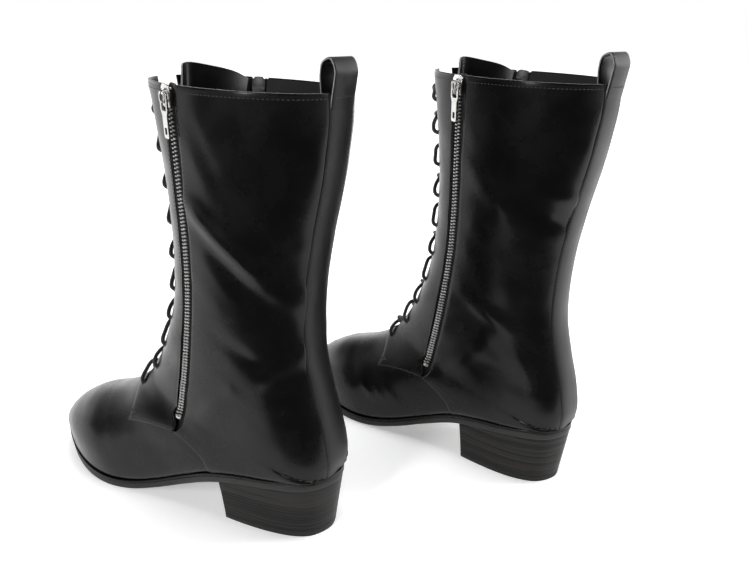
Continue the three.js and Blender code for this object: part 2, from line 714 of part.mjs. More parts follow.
function lacePoints() {
  const at = (t, distance, side, out) => offsetPoint(t, (side * distance) / girth(t, side), out);
  const over = LACE_R + GAP;
  const under = -UPPER_T - LACE_R - 2 * GAP;
  const edge = EDGE_FROM_FRONT;
  const hole = EDGE_FROM_FRONT + HOLE_FROM_EDGE;
  const ts = laceHoles(1).map(([t]) => t); // from the top hole down
  // From the lowest hole up: out of each hole, over the gap, under the other facing.
  const run = (startSide, lift) => {
    const points = [];
    let side = startSide;
    for (let k = HOLES - 1; k > 0; k--) {
      const [low, high] = [ts[k], ts[k - 1]];
      const part = (f) => low + f * (high - low);
      points.push(at(low, hole, side, over + 0.5));
      points.push(at(part(0.22), edge, side, over + 1.2));
      points.push(at(part(0.5), 0.01, side, lift));
      points.push(at(part(0.72), edge - 1.5, -side, under));
      points.push(at(high, hole, -side, under - 0.2));
      side = -side;
    }
    points.push(at(ts[0], hole, side, over + 0.5));
    points.push(at(ts[0] - 0.12, edge, side, over + 1));
    points.push(at(ts[0] - 0.26, 0.01, side, lift));
    points.push(at(ts[0] - 0.36, edge - 1.5, -side, under));
    points.push(at(ts[0] - 0.44, hole - 3, -side, under - 0.2));
    return points;
  };
  const bar = [-hole, -edge, 0.01, edge, hole].map((d) =>
    at(ts[HOLES - 1] + 0.12, Math.abs(d), Math.sign(d), under),
  );
  const [near, far] = [3, 3 + 2 * LACE_R + 0.7]; // how far the two crossing runs stand out
  return [...run(-1, near).reverse(), ...bar, ...run(1, far)];
}

function lace() {
  const points = lacePoints();
  const round = new THREE.Shape();
  round.absarc(0, 0, LACE_R, 0, 2 * Math.PI);
  return new THREE.ExtrudeGeometry(round, {
    steps: points.length - 1,
    extrudePath: new Route(points.map((p) => new THREE.Vector3(...p)), false, "centripetal"),
    curveSegments: 4,
  });
}

// ---------------------------------------------------------------- zip

function zipBand(side, halfWidth, outer, inner, from, to, rows) {
  const columns = halfWidth > CHAIN_W ? 4 : 1;
  const cells = steps(rows, from, to).map((t) =>
    steps(columns, -halfWidth, halfWidth).map((d) => [t, besideZip(t, side, d)]),
  );
  return sheet(cells, outer, inner);
}

const TAPE_AT = UPPER_T + 0.65;
const CHAIN_FOOT = -TAPE_AT + GAP;
const CHAIN_TOP = CHAIN_FOOT + CHAIN_T;
const SLIT_END = 3.7;

function zipTape(side) {
  const band = solid(zipBand(side, TAPE_W / 2, -TAPE_AT, -TAPE_AT - TAPE_T, 0.04, ZIP_END + 0.1, 12));
  const slit = solid(zipBand(side, SLIT / 2, 0, -6, -0.3, SLIT_END, 6));
  return geometryOf(band.subtract(slit));
}

function zipChain(side) {
  const band = solid(zipBand(side, CHAIN_W / 2, CHAIN_TOP, CHAIN_FOOT, 0.3, ZIP_END, 13));
  const slit = solid(zipBand(side, SLIT / 2, 4, -6, -0.3, SLIT_END, 6));
  return geometryOf(band.subtract(slit));
}

// The slider's own frame: x across the zip towards the back, y down the zip, z out.
function zipFrame(side) {
  const point = (t) => new THREE.Vector3(...surface(t, zipU(t, side)));
  const start = point(0.24);
  const down = point(3.2).sub(point(0.05)).normalize();
  const outward = [0.4, 1.6, 2.8]
    .map((t) => normal(t, zipU(t, side)))
    .reduce((sum, n) => sum.add(n), new THREE.Vector3());
  outward.addScaledVector(down, -outward.dot(down)).normalize();
  const across = new THREE.Vector3().crossVectors(down, outward);
  const matrix = new THREE.Matrix4().makeBasis(across, down, outward).setPosition(start);
  return { matrix, down, across, start };
}

const block = (w, l, h, x, y, z) => solid(new THREE.BoxGeometry(w, l, h).translate(x, y, z));

const BAIL = { width: 2, height: 4, length: 8, bar: 1.2 };
const PLATE_TOP = CHAIN_TOP + SLIDER.clearance + SLIDER.plate;
// The puller's axis in the slider's frame.
const PIVOT = { y: -1.6, z: PLATE_TOP + (BAIL.height - BAIL.bar) / 2 };

function slider() {
  const { length, width, plate: thick, post, clearance } = SLIDER;
  const face = new THREE.Shape();
  face.moveTo(-width / 2 + 2, -length / 2);
  face.lineTo(width / 2 - 2, -length / 2);
  face.lineTo(width / 2, -length / 2 + 3);
  face.lineTo(width / 2 - 1, length / 2);
  face.lineTo(-width / 2 + 1, length / 2);
  face.lineTo(-width / 2, -length / 2 + 3);
  const settings = { depth: thick, bevelEnabled: false };
  const wing = (z) => solid(new THREE.ExtrudeGeometry(face, settings).translate(0, 0, z));
  const backFace = -TAPE_AT - TAPE_T - clearance;
  let made = wing(PLATE_TOP - thick).add(wing(backFace - thick));
  const flangeX = CHAIN_W / 2 + clearance + 0.5;
  const flangeFoot = -TAPE_AT + clearance + 0.1;
  for (const x of [-flangeX, flangeX]) {
    const tall = PLATE_TOP - flangeFoot - 0.2;
    const flange = block(1, length - 4, tall, x, 1.5, flangeFoot + tall / 2);
    made = made.add(flange);
  }
  const postLength = PLATE_TOP - backFace + thick - 0.4;
  made = made.add(block(post, 3, postLength, 0, -length / 2 + 2, (PLATE_TOP + backFace - thick) / 2));
  const bailTop = PLATE_TOP + BAIL.height;
  made = made.add(block(BAIL.width, BAIL.length, BAIL.bar, 0, 0, bailTop - BAIL.bar / 2));
  const legAt = (BAIL.length - BAIL.bar) / 2;
  for (const y of [-1, 1])
    made = made.add(
      block(BAIL.width, BAIL.bar, BAIL.height, 0, y * legAt, bailTop - BAIL.height / 2 - 0.1),
    );
  return geometryOf(made);
}

function puller() {
  const { length, width, thick, eye } = PULLER;
  const shape = new THREE.Shape();
  const neck = eye + 3;
  shape.moveTo(-width / 2 + 1, -0.8);
  shape.lineTo(width / 2 - 1, -0.8);
  shape.lineTo(width / 2, 0.2);
  shape.lineTo(width / 2, eye - 1);
  shape.lineTo(width / 2 - 1.4, neck);
  shape.lineTo(width / 2 - 1, length - 3);
  shape.lineTo(width / 2 - 1.8, length - 1.6);
  shape.lineTo(-width / 2 + 1.8, length - 1.6);
  shape.lineTo(-width / 2 + 1, length - 3);
  shape.lineTo(-width / 2 + 1.4, neck);
  shape.lineTo(-width / 2, eye - 1);
  shape.lineTo(-width / 2, 0.2);
  const opening = new THREE.Path();
  const half = BAIL.width / 2 + 0.7;
  opening.moveTo(-half, 0.7);
  opening.lineTo(-half, eye - 1.6);
  opening.lineTo(half, eye - 1.6);
  opening.lineTo(half, 0.7);
  const hole = new THREE.Path();
  hole.absarc(0, length - 4.6, 1.2, 0, 2 * Math.PI, true);
  shape.holes.push(opening, hole);
  const made = new THREE.ExtrudeGeometry(shape, { depth: thick, bevelEnabled: false, curveSegments: 4 });
  return made.translate(0, PIVOT.y, PIVOT.z - thick / 2);
}

// ---------------------------------------------------------------- one boot

const LEATHER = { color: 0x0b0b0c, roughness: 0.28, metalness: 0 };
const LOOKS = {
  leather: LEATHER,
  lining: { color: 0x1a1918, roughness: 0.7, metalness: 0 },
  sole: { color: 0x171615, roughness: 0.6, metalness: 0 },
  heel: { color: 0x1d1b19, roughness: 0.55, metalness: 0 },
  rubber: { color: 0x141414, roughness: 0.8, metalness: 0 },
  board: { color: 0x8a6f4c, roughness: 0.9, metalness: 0 },
  steel: { color: 0x9a9a98, roughness: 0.4, metalness: 1 },
  nickel: { color: 0xc9c7c2, roughness: 0.25, metalness: 1 },
  tape: { color: 0x101012, roughness: 0.9, metalness: 0 },
  lace: { color: 0x121212, roughness: 0.5, metalness: 0 },
};

// Everything of one boot in the boot's frame. tongueSide is the side its tongue leans to.
function boot(foot, tongueSide) {
  const group = new THREE.Group();
  const add = (name, geometry, look, matrix) => {
    const mesh = new THREE.Mesh(geometry, new THREE.MeshStandardMaterial(LOOKS[look]));
    mesh.name = `${foot}_${name}`;
    if (matrix) mesh.applyMatrix4(matrix);
    group.add(mesh);
    return mesh;
  };
  const full = (x) => Math.min(...[1, -1].map((side) => soleHalf(x, side)));
  add("vamp", vamp(), "leather");
  for (const [word, side] of [["outer", 1], ["inner", -1]]) {
    add(`${word}_facing`, facing(side), "leather");
    add(`${word}_quarter`, quarter(side), "leather");
    add(`${word}_zip_tape`, zipTape(side), "tape");
    add(`${word}_zip_chain`, zipChain(side), "nickel");
    const { matrix } = zipFrame(side);
    add(`${word}_zip_slider`, slider(), "nickel", matrix);
    add(`${word}_zip_puller`, puller(), "nickel", matrix);
  }
  add("back_strip", backStrip(), "leather");
  add("pull_tab", pullTab(), "leather");
  add("tongue", tongue(tongueSide), "leather");
  add("lining", lining(), "lining");
  add("heel_counter", counter(), "board");
  add("toe_puff", toePuff(), "board");
  add("lace", lace(), "lace");
  add("welt", welt(), "sole");
  add("outsole", plate(OUTSOLE_OUT, OUTSOLE_TOP, OUTSOLE_BOTTOM), "sole");
  add("insole_board", plate(-UPPER_T - 1.4, -GAP - INSOLE_T, -GAP, SOLE_ROWS.slice(0, -1)), "board");
  const sockAt = liningAt(HEEL) + LINING_T + GAP;
  add("sock_liner", plate(-sockAt - 1.6, -sockAt - SOCK_T, -sockAt, SOLE_ROWS.slice(1, -3)), "lining");
  const shankHalf = () => SHANK.width / 2;
  const shankTop = GAP + 0.1;
  add("shank", strip(SHANK.from, SHANK.to, shankHalf, shankTop, shankTop + SHANK.thick, 12), "steel");
  const filler = (x) => full(x) + WELT_OUT - WELT_W - 1.8;
  add("sole_filler", strip(SHANK.to + 2, 240, filler, shankTop, shankTop + SHANK.thick, 12), "board");
  add("heel_stack", heelBlock(0, TOP_LIFT_T + GAP), "heel");
  add("top_lift", heelBlock(0, 0, TOP_LIFT_T), "rubber");
  return group;
}

const soleHalf = (x, side) => stationAt(soleSection(x))[side > 0 ? 9 : 10];

// ---------------------------------------------------------------- the pair

const left = boot("left", -1);
left.rotation.z = -Math.PI / 2 + TOE_OUT;
const right = boot("right", 1);
right.rotation.z = -Math.PI / 2 - TOE_OUT;
right.scale.y = -1;
right.position.set(-BOOT_SPACING, RIGHT_BOOT_BACK, 0);

// The origin is on the floor, under the middle of the pair.
const pair = new THREE.Group();
pair.add(left, right);
const middle = new THREE.Box3().setFromObject(pair).getCenter(new THREE.Vector3());
left.position.x -= middle.x;
left.position.y -= middle.y;
right.position.x -= middle.x;
right.position.y -= middle.y;

export default pair;
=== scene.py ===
"""The looks of a pair of lace-up boots with side zips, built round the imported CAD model.

Everything is modelled in one boot's own frame in millimetres: x forward from the heel, y towards the
outside of the foot, z up from the floor. A foot matrix then places it, mirrored for the right boot.
"""

import functools
import math

import bmesh
import bpy
import numpy as np
from mathutils import Matrix, Vector


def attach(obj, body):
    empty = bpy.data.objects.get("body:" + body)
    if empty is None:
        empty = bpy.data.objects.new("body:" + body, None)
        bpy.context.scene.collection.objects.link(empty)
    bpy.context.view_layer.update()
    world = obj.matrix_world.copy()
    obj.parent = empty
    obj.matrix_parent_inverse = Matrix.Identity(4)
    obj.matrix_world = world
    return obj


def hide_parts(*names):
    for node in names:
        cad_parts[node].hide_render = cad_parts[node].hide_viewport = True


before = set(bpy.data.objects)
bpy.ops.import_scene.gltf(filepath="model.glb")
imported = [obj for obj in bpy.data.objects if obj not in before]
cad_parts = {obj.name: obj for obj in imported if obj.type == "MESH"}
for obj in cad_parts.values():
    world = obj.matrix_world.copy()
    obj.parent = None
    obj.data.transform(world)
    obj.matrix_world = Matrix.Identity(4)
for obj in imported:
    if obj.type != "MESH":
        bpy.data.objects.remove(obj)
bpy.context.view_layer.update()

# ---------------------------------------------------------------- camera and light

LENS = 33.88
CAMERA_AT = (0.4082, 0.3434, 0.332)
CAMERA_HEADING = 124.95
CAMERA_PITCH = 19.2
CAMERA_ROLL = -0.66
OVERHEAD_W, LEFT_W, RIGHT_W = 26, 12, 12
DIM, PALE = 0.09, 2.4
CARD_FROM = 0.25


def add_camera():
    data = bpy.data.cameras.new("camera")
    data.lens = LENS
    data.sensor_width = 36.0
    camera = bpy.data.objects.new("camera", data)
    bpy.context.scene.collection.objects.link(camera)
    heading, pitch = math.radians(CAMERA_HEADING), math.radians(CAMERA_PITCH)
    forward = Vector(
        (-math.sin(heading) * math.cos(pitch), math.cos(heading) * math.cos(pitch), -math.sin(pitch))
    )
    right = forward.cross(Vector((0, 0, 1))).normalized()
    up = right.cross(forward)
    turn = Matrix((right, up, -forward)).transposed().to_4x4()
    roll = Matrix.Rotation(math.radians(CAMERA_ROLL), 4, "Z")
    camera.matrix_world = Matrix.Translation(CAMERA_AT) @ turn @ roll
    bpy.context.scene.camera = camera


def area_light(name, at, aim, size, power):
    data = bpy.data.lights.new(name, "AREA")
    data.shape = "RECTANGLE"
    data.size, data.size_y = size
    data.energy = power
    light = bpy.data.objects.new(name, data)
    bpy.context.scene.collection.objects.link(light)
    light.location = at
    light.rotation_euler = (Vector(aim) - Vector(at)).to_track_quat("-Z", "Y").to_euler()


def add_studio():
    """A dim room with a pale horizon and three large soft lights."""
    bpy.context.scene.view_settings.view_transform = "Standard"
    world = bpy.data.worlds.new("studio")
    bpy.context.scene.world = world
    world.use_nodes = True
    tree = world.node_tree
    back = tree.nodes["Background"]
    # Pale behind the boots near the horizon, dim everywhere else.
    where = tree.nodes.new("ShaderNodeTexCoord")
    facing = tree.nodes.new("ShaderNodeVectorMath")
    facing.operation = "DOT_PRODUCT"
    facing.inputs[1].default_value = (-0.82, -0.573, 0.0)
    split = tree.nodes.new("ShaderNodeSeparateXYZ")
    behind, low, both = (tree.nodes.new("ShaderNodeMapRange") for _ in range(3))
    tree.links.new(where.outputs["Generated"], facing.inputs[0])
    tree.links.new(where.outputs["Generated"], split.inputs[0])
    tree.links.new(facing.outputs["Value"], behind.inputs["Value"])
    tree.links.new(split.outputs["Z"], low.inputs["Value"])
    for shade, numbers in ((behind, (-0.1, 0.35, 0.0, 1.0)), (low, (0.15, 0.5, 1.0, 0.0))):
        for key, number in zip(("From Min", "From Max", "To Min", "To Max"), numbers):
            shade.inputs[key].default_value = number
    product = tree.nodes.new("ShaderNodeMath")
    product.operation = "MULTIPLY"
    tree.links.new(behind.outputs["Result"], product.inputs[0])
    tree.links.new(low.outputs["Result"], product.inputs[1])
    tree.links.new(product.outputs["Value"], both.inputs["Value"])
    both.inputs["To Min"].default_value = DIM
    both.inputs["To Max"].default_value = PALE
    tree.links.new(both.outputs["Result"], back.inputs["Strength"])
    back.inputs["Color"].default_value = (1, 1, 1, 1)
    area_light("overhead", (-0.15, 0.25, 1.7), (0, 0, 0.1), (0.8, 1.1), OVERHEAD_W)
    area_light("near_left", (-0.9, 1.25, 0.8), (0, 0.1, 0.18), (0.3, 0.9), LEFT_W)
    area_light("near_right", (1.35, 0.1, 0.75), (0.05, 0, 0.16), (0.25, 0.8), RIGHT_W)


def add_floor():
    mesh = bpy.data.meshes.new("floor")
    r = 12.0
    mesh.from_pydata([(-r, -r, 0), (r, -r, 0), (r, r, 0), (-r, r, 0)], [], [(0, 1, 2, 3)])
    floor = bpy.data.objects.new("floor", mesh)
    bpy.context.scene.collection.objects.link(floor)
    material = bpy.data.materials.new("pale_floor")
    material.use_nodes = True
    tree = material.node_tree
    shader = tree.nodes["Principled BSDF"]
    shader.inputs["Base Color"].default_value = (0.93, 0.93, 0.93, 1)
    shader.inputs["Roughness"].default_value = 0.6
    shader.inputs["Specular IOR Level"].default_value = 0.2
    shader.inputs["Emission Strength"].default_value = 1.0
    # The floor's own glow makes up for the light falling off away from the boots.
    where = tree.nodes.new("ShaderNodeTexCoord")
    length = tree.nodes.new("ShaderNodeVectorMath")
    length.operation = "LENGTH"
    glow = tree.nodes.new("ShaderNodeValToRGB")
    scale = tree.nodes.new("ShaderNodeMath")
    scale.operation = "MULTIPLY"
    scale.inputs[1].default_value = 0.5
    tree.links.new(where.outputs["Object"], length.inputs[0])
    tree.links.new(length.outputs["Value"], scale.inputs[0])
    tree.links.new(scale.outputs["Value"], glow.inputs[0])
    tree.links.new(glow.outputs["Color"], shader.inputs["Emission Color"])
    near, far = glow.color_ramp.elements
    near.position, near.color = 0.1, (0.34, 0.34, 0.34, 1)
    far.position, far.color = 0.6, (0.95, 0.95, 0.95, 1)
    mesh.materials.append(material)


def glow_material(name, strength):
    material, _, shader = new_material(name, Roughness=1.0, Specular_IOR_Level=0.0)
    shader.inputs["Base Color"].default_value = (0, 0, 0, 1)
    shader.inputs["Emission Color"].default_value = (1, 1, 1, 1)
    shader.inputs["Emission Strength"].default_value = strength
    return material


def seen_by(piece, camera, glossy):
    piece.visible_camera, piece.visible_glossy = camera, glossy
    piece.visible_diffuse = piece.visible_shadow = piece.visible_transmission = False


def add_backdrop():
    """A white dome that only shows behind everything, and a dark card in front of the boots that
    only shows in reflections, where the paper they stand on ends."""
    bm = bmesh.new()
    bmesh.ops.create_uvsphere(bm, u_segments=32, v_segments=16, radius=11.5)
    mesh = bpy.data.meshes.new("backdrop")
    bm.to_mesh(mesh)
    bm.free()
    mesh.materials.append(glow_material("white_backdrop", 1.0))
    dome = bpy.data.objects.new("backdrop", mesh)
    bpy.context.scene.collection.objects.link(dome)
    seen_by(dome, camera=True, glossy=False)
    mesh = bpy.data.meshes.new("card")
    near, far, half = CARD_FROM, 3.2, 2.2
    ahead, aside = Vector((0.82, 0.573, 0)), Vector((-0.573, 0.82, 0))
    corners = [
        ahead * distance + aside * shift
        for distance, shift in ((near, -half), (far, -half), (far, half), (near, half))
    ]
    mesh.from_pydata([(c.x, c.y, 0.002) for c in corners], [], [(0, 1, 2, 3)])
    mesh.materials.append(glow_material("dark_card", 0.03))
    card = bpy.data.objects.new("card", mesh)
    bpy.context.scene.collection.objects.link(card)
    seen_by(card, camera=False, glossy=True)


# ---------------------------------------------------------------- the boot's outer surface

# One row per slanted section: front point (x, z), back or sole point (x, z), half width outside and
# inside, where it is widest, roundness of the front and back quarters, half width of the sole's edge
# outside and inside, and the y of the front line.
STATIONS = np.array(
    [
        (119, 314, -18.5, 306, 48, 48, 0.54, 2.05, 2.2, 0, 0, 0),
        (116, 284, -17, 284, 46.3, 46.3, 0.54, 2.05, 2.2, 0, 0, 0),
        (113.5, 250, -11, 251, 44.1, 44.1, 0.54, 2.05, 2.2, 0, 0, 0),
        (114, 216, -3, 218, 40.9, 40.9, 0.54, 2.05, 2.2, 0, 0, 0),
        (117, 186, 3, 187, 38.4, 38.2, 0.54, 2.05, 2.2, 0, 0, 0),
        (122, 161, 6, 158, 37, 36.8, 0.54, 2.05, 2.3, 0, 0, 0),
        (130.5, 139, 5.5, 131, 35.6, 35.2, 0.54, 2.1, 2.4, 0, 0, 0),
        (139.5, 121, 0.5, 106, 34.6, 34, 0.55, 2.1, 2.5, 0, 0, 0),
        (147.5, 109, -5, 83, 34.2, 33, 0.57, 2.1, 2.7, 0, 0, 0),
        (153.5, 101.5, -7.5, 63, 34, 32.6, 0.6, 2.1, 3, 0, 0, 0),
        (157.5, 97, -6, 50, 34, 32.4, 0.62, 2.1, 3.2, 0, 0, 0),
        (160.5, 94, 0, 49.8, 34, 32.4, 0.62, 2.1, 3.4, 17, 17, 0),
        (163.5, 91.5, 12, 49.4, 34, 32.4, 0.62, 2.1, 3.4, 25.5, 25.5, 0),
        (167, 88.5, 32, 48, 34.2, 32.4, 0.62, 2.1, 3.2, 30.5, 30, 0),
        (171, 85.5, 58, 45, 34.8, 32.2, 0.62, 2.1, 3, 32.6, 30.2, 0),
        (176, 82, 84, 38.5, 35.4, 32.6, 0.62, 2.1, 2.8, 32.2, 28.2, 0),
        (182.5, 78.5, 112, 27, 36, 34, 0.64, 2.1, 2.7, 30.6, 27.4, 0),
        (190.5, 75, 140, 16, 37.8, 36.4, 0.67, 2.1, 2.7, 32.6, 31.4, 0),
        (200, 71.5, 165, 9.6, 40, 38.4, 0.7, 2.1, 2.7, 37, 36, 0),
        (211, 68, 188, 8, 41, 39.4, 0.72, 2.1, 2.7, 39.2, 38, 0),
        (224, 63.5, 210, 9, 37.8, 36.6, 0.72, 2.1, 2.7, 36.4, 35.4, -0.3),
        (240, 55.5, 231, 11.6, 30.6, 30.2, 0.7, 2.1, 2.7, 29.2, 29, -0.8),
        (254, 45.5, 249, 15, 21, 22, 0.68, 2.1, 2.7, 19.6, 20.8, -1.4),
        (264.5, 35, 262, 18.2, 12.2, 14.4, 0.66, 2.1, 2.7, 11, 13.4, -1.8),
        (270.8, 26.8, 270, 20.4, 4.6, 7.8, 0.6, 2.1, 2.4, 4, 7.4, -2),
        (273.4, 22, 273.4, 21.8, -1.9, 2.1, 0.5, 2, 2, -1.9, 2.1, -2),
    ]
)
LAST = len(STATIONS) - 1
HEEL = 10  # the section that ends on the sole's edge behind the heel
FIRST_T = -0.6
T_STEP = 0.025
HALF = 160  # columns of the surface table on each side


@functools.cache
def station(t):
    """The numbers of the section at t."""
    if t < 0:
        return STATIONS[0] + t * (STATIONS[1] - STATIONS[0])
    i = min(int(t), LAST - 1)
    b, c = STATIONS[i], STATIONS[i + 1]
    a = 2 * STATIONS[0] - STATIONS[1] if i == 0 else STATIONS[i - 1].copy()
    d = 2 * STATIONS[LAST] - STATIONS[LAST - 1] if i + 2 > LAST else STATIONS[i + 2].copy()
    if i == HEEL:
        a[[2, 3]] = STATIONS[HEEL + 1][[2, 3]]
        a[[9, 10]] = -STATIONS[HEEL + 1][[9, 10]]
    if i == HEEL - 1:
        d[[2, 3]] = (2 * STATIONS[HEEL] - STATIONS[HEEL - 1])[[2, 3]]
    k = t - i
    row = 0.5 * (
        2 * b + (c - a) * k + (2 * a - 5 * b + 4 * c - d) * k * k + (3 * b - 3 * c + d - a) * k**3
    )
    if i < HEEL:
        row[[9, 10]] = 0
    return row


def half_section(row, side):
    xf, zf, xr, zr, w_out, w_in, widest, n_front, n_back, e_out, e_in, ridge = row
    w, e = (w_out, e_out) if side > 0 else (w_in, e_in)
    ridge *= side
    a = np.linspace(0, math.pi / 2, 60)
    c, s = np.clip(np.cos(a), 0, 1), np.sin(a)
    v = np.concatenate([widest * (1 - c ** (2 / n_front)), widest + (1 - widest) * s[1:] ** (2 / n_back)])
    y = np.concatenate([ridge + (w - ridge) * s ** (2 / n_front), e + (w - e) * c[1:] ** (2 / n_back)])
    p = np.stack([xf + v * (xr - xf), side * y, zf + v * (zr - zf)], 1)
    along = np.concatenate([[0], np.cumsum(np.linalg.norm(np.diff(p, axis=0), axis=1))])
    share = np.linspace(0, along[-1], HALF + 1)
    return np.stack([np.interp(share, along, p[:, k]) for k in range(3)], 1), along[-1]


def surface_table():
    ts = np.arange(FIRST_T, LAST + 1e-6, T_STEP)
    points = np.zeros((len(ts), 2 * HALF + 1, 3))
    girths = np.zeros((len(ts), 2))
    for i, t in enumerate(ts):
        row = station(float(t))
        out, girths[i, 0] = half_section(row, 1)
        inn, girths[i, 1] = half_section(row, -1)
        points[i, HALF:] = out
        points[i, : HALF + 1] = inn[::-1]
    down = np.gradient(points, axis=0)
    across = np.gradient(points, axis=1)
    normals = np.cross(down, across)
    normals /= np.maximum(np.linalg.norm(normals, axis=2, keepdims=True), 1e-9)
    shaft = ts < HEEL - 0.01
    joined = normals[shaft, 0] + normals[shaft, -1]
    joined /= np.linalg.norm(joined, axis=1, keepdims=True)
    normals[shaft, 0] = normals[shaft, -1] = joined
    return points, normals, girths


POINTS, NORMALS, GIRTHS = surface_table()


def wrapped(u):
    return np.where(u > 1, u - 2, np.where(u < -1, u + 2, u))


def lookup(table, t, u):
    u = wrapped(u)
    i = np.clip((t - FIRST_T) / T_STEP, 0, table.shape[0] - 1.001)
    j = np.clip((u + 1) * HALF, 0, 2 * HALF - 1e-6)
    i0, j0 = i.astype(int), j.astype(int)
    fi, fj = (i - i0)[..., None], (j - j0)[..., None]
    top = table[i0, j0] * (1 - fj) + table[i0, j0 + 1] * fj
    low = table[i0 + 1, j0] * (1 - fj) + table[i0 + 1, j0 + 1] * fj
    return top * (1 - fi) + low * fi


def surf(t, u, out=0.0):
    """Surface points at t and u, moved out along the normal. Arrays or numbers."""
    t, u = np.broadcast_arrays(np.asarray(t, float), np.asarray(u, float))
    out = np.asarray(out, float)
    # Along the sole's edge the section curves under, so the normal is taken a little above it.
    limit = 1 - 0.1 * np.clip((t - HEEL + 1.2) / 1.0, 0, 1)
    steady = np.clip(wrapped(u), -limit, limit)
    return lookup(POINTS, t, u) + out[..., None] * lookup(NORMALS, t, steady)


def normal(t, u):
    n = lookup(NORMALS, np.asarray(t, float), np.asarray(u, float))
    return n / np.linalg.norm(n, axis=-1, keepdims=True)


def girth(t, side):
    i = np.clip((np.asarray(t, float) - FIRST_T) / T_STEP, 0, len(GIRTHS) - 1)
    return np.interp(i, np.arange(len(GIRTHS)), GIRTHS[:, 0 if side > 0 else 1])


@functools.cache
def u_at_x(t, x, side):
    low, high = 0.0, 0.97
    for _ in range(26):
        mid = (low + high) / 2
        if surf(t, side * mid)[0] > x:
            low = mid
        else:
            high = mid
    return side * low


@functools.cache
def u_at_back(t, y):
    side = -1 if y < 0 else 1
    low, high = 0.6, 1.0
    for _ in range(26):
        mid = (low + high) / 2
        if abs(surf(t, side * mid)[1]) > abs(y):
            low = mid
        else:
            high = mid
    return side * low


@functools.cache
def locate(x, z, side):
    """t and u of the surface point that a side view shows at x, z."""
    best = (0.0, 0.0, 1e9)

    def look(t0, t1, u0, u1, n, best):
        t = np.linspace(max(t0, 0), min(t1, LAST - 1), n)[:, None]
        u = np.linspace(max(u0, 0.02), min(u1, 1), n)[None, :]
        p = surf(t, side * u)
        miss = np.hypot(p[..., 0] - x, p[..., 2] - z)
        i, j = np.unravel_index(miss.argmin(), miss.shape)
        return min(best, (float(t[i, 0]), float(side * u[0, j]), float(miss[i, j])), key=lambda b: b[2])

    best = look(0, LAST - 1, 0.02, 1, 90, best)
    reach = 0.4
    while reach > 1e-4:
        t, u = best[0], abs(best[1])
        best = look(t - reach, t + reach, u - reach / 20, u + reach / 20, 9, best)
        reach *= 0.4
    return best[:2]


def spaced(pairs, n):
    """n + 1 pairs of t and u spaced evenly along a run of them."""
    pairs = np.asarray(pairs, float)
    p = surf(pairs[:, 0], pairs[:, 1])
    along = np.concatenate([[0], np.cumsum(np.linalg.norm(np.diff(p, axis=0), axis=1))])
    share = np.linspace(0, along[-1], n + 1)
    return np.stack([np.interp(share, along, pairs[:, k]) for k in range(2)], 1)


def run_length(pairs):
    pairs = np.asarray(pairs, float)
    return float(np.linalg.norm(np.diff(surf(pairs[:, 0], pairs[:, 1]), axis=0), axis=1).sum())


RIM = (0.0, 0.16, 0.45, 0.9)  # mm in from a panel's edge: rows that round it over


def shares(length, pitch):
    """Shares along an edge: near both ends they follow RIM, between them they are even."""
    rim = [r / length for r in RIM]
    n = max(2, round((length - 2 * RIM[-1]) / pitch))
    inner = np.linspace(rim[-1], 1 - rim[-1], n + 1)
    return np.concatenate([rim[:-1], inner, [1 - r for r in rim[:-1]][::-1]])


def resample(pairs, at):
    pairs = np.asarray(pairs, float)
    p = surf(pairs[:, 0], pairs[:, 1])
    along = np.concatenate([[0], np.cumsum(np.linalg.norm(np.diff(p, axis=0), axis=1))])
    return np.stack([np.interp(np.asarray(at) * along[-1], along, pairs[:, k]) for k in range(2)], 1)


def fill(top, bottom, left, right, pitch):
    """A grid of t and u between four edges, and each cell's distance to the nearest edge."""
    width = max(run_length(top), run_length(bottom))
    height = max(run_length(left), run_length(right))
    i, j = shares(height, pitch), shares(width, pitch)
    a, b, l, r = resample(top, j), resample(bottom, j), resample(left, i), resample(right, i)
    i_, j_ = i[:, None, None], j[None, :, None]
    grid = (1 - i_) * a[None] + i_ * b[None] + (1 - j_) * l[:, None] + j_ * r[:, None]
    grid -= (1 - i_) * ((1 - j_) * a[0] + j_ * a[-1]) + i_ * ((1 - j_) * b[0] + j_ * b[-1])
    edge = np.minimum(
        np.minimum(i, 1 - i)[:, None] * height,
        np.minimum(j, 1 - j)[None, :] * width,
    )
    return grid, edge


# ---------------------------------------------------------------- creases in the leather

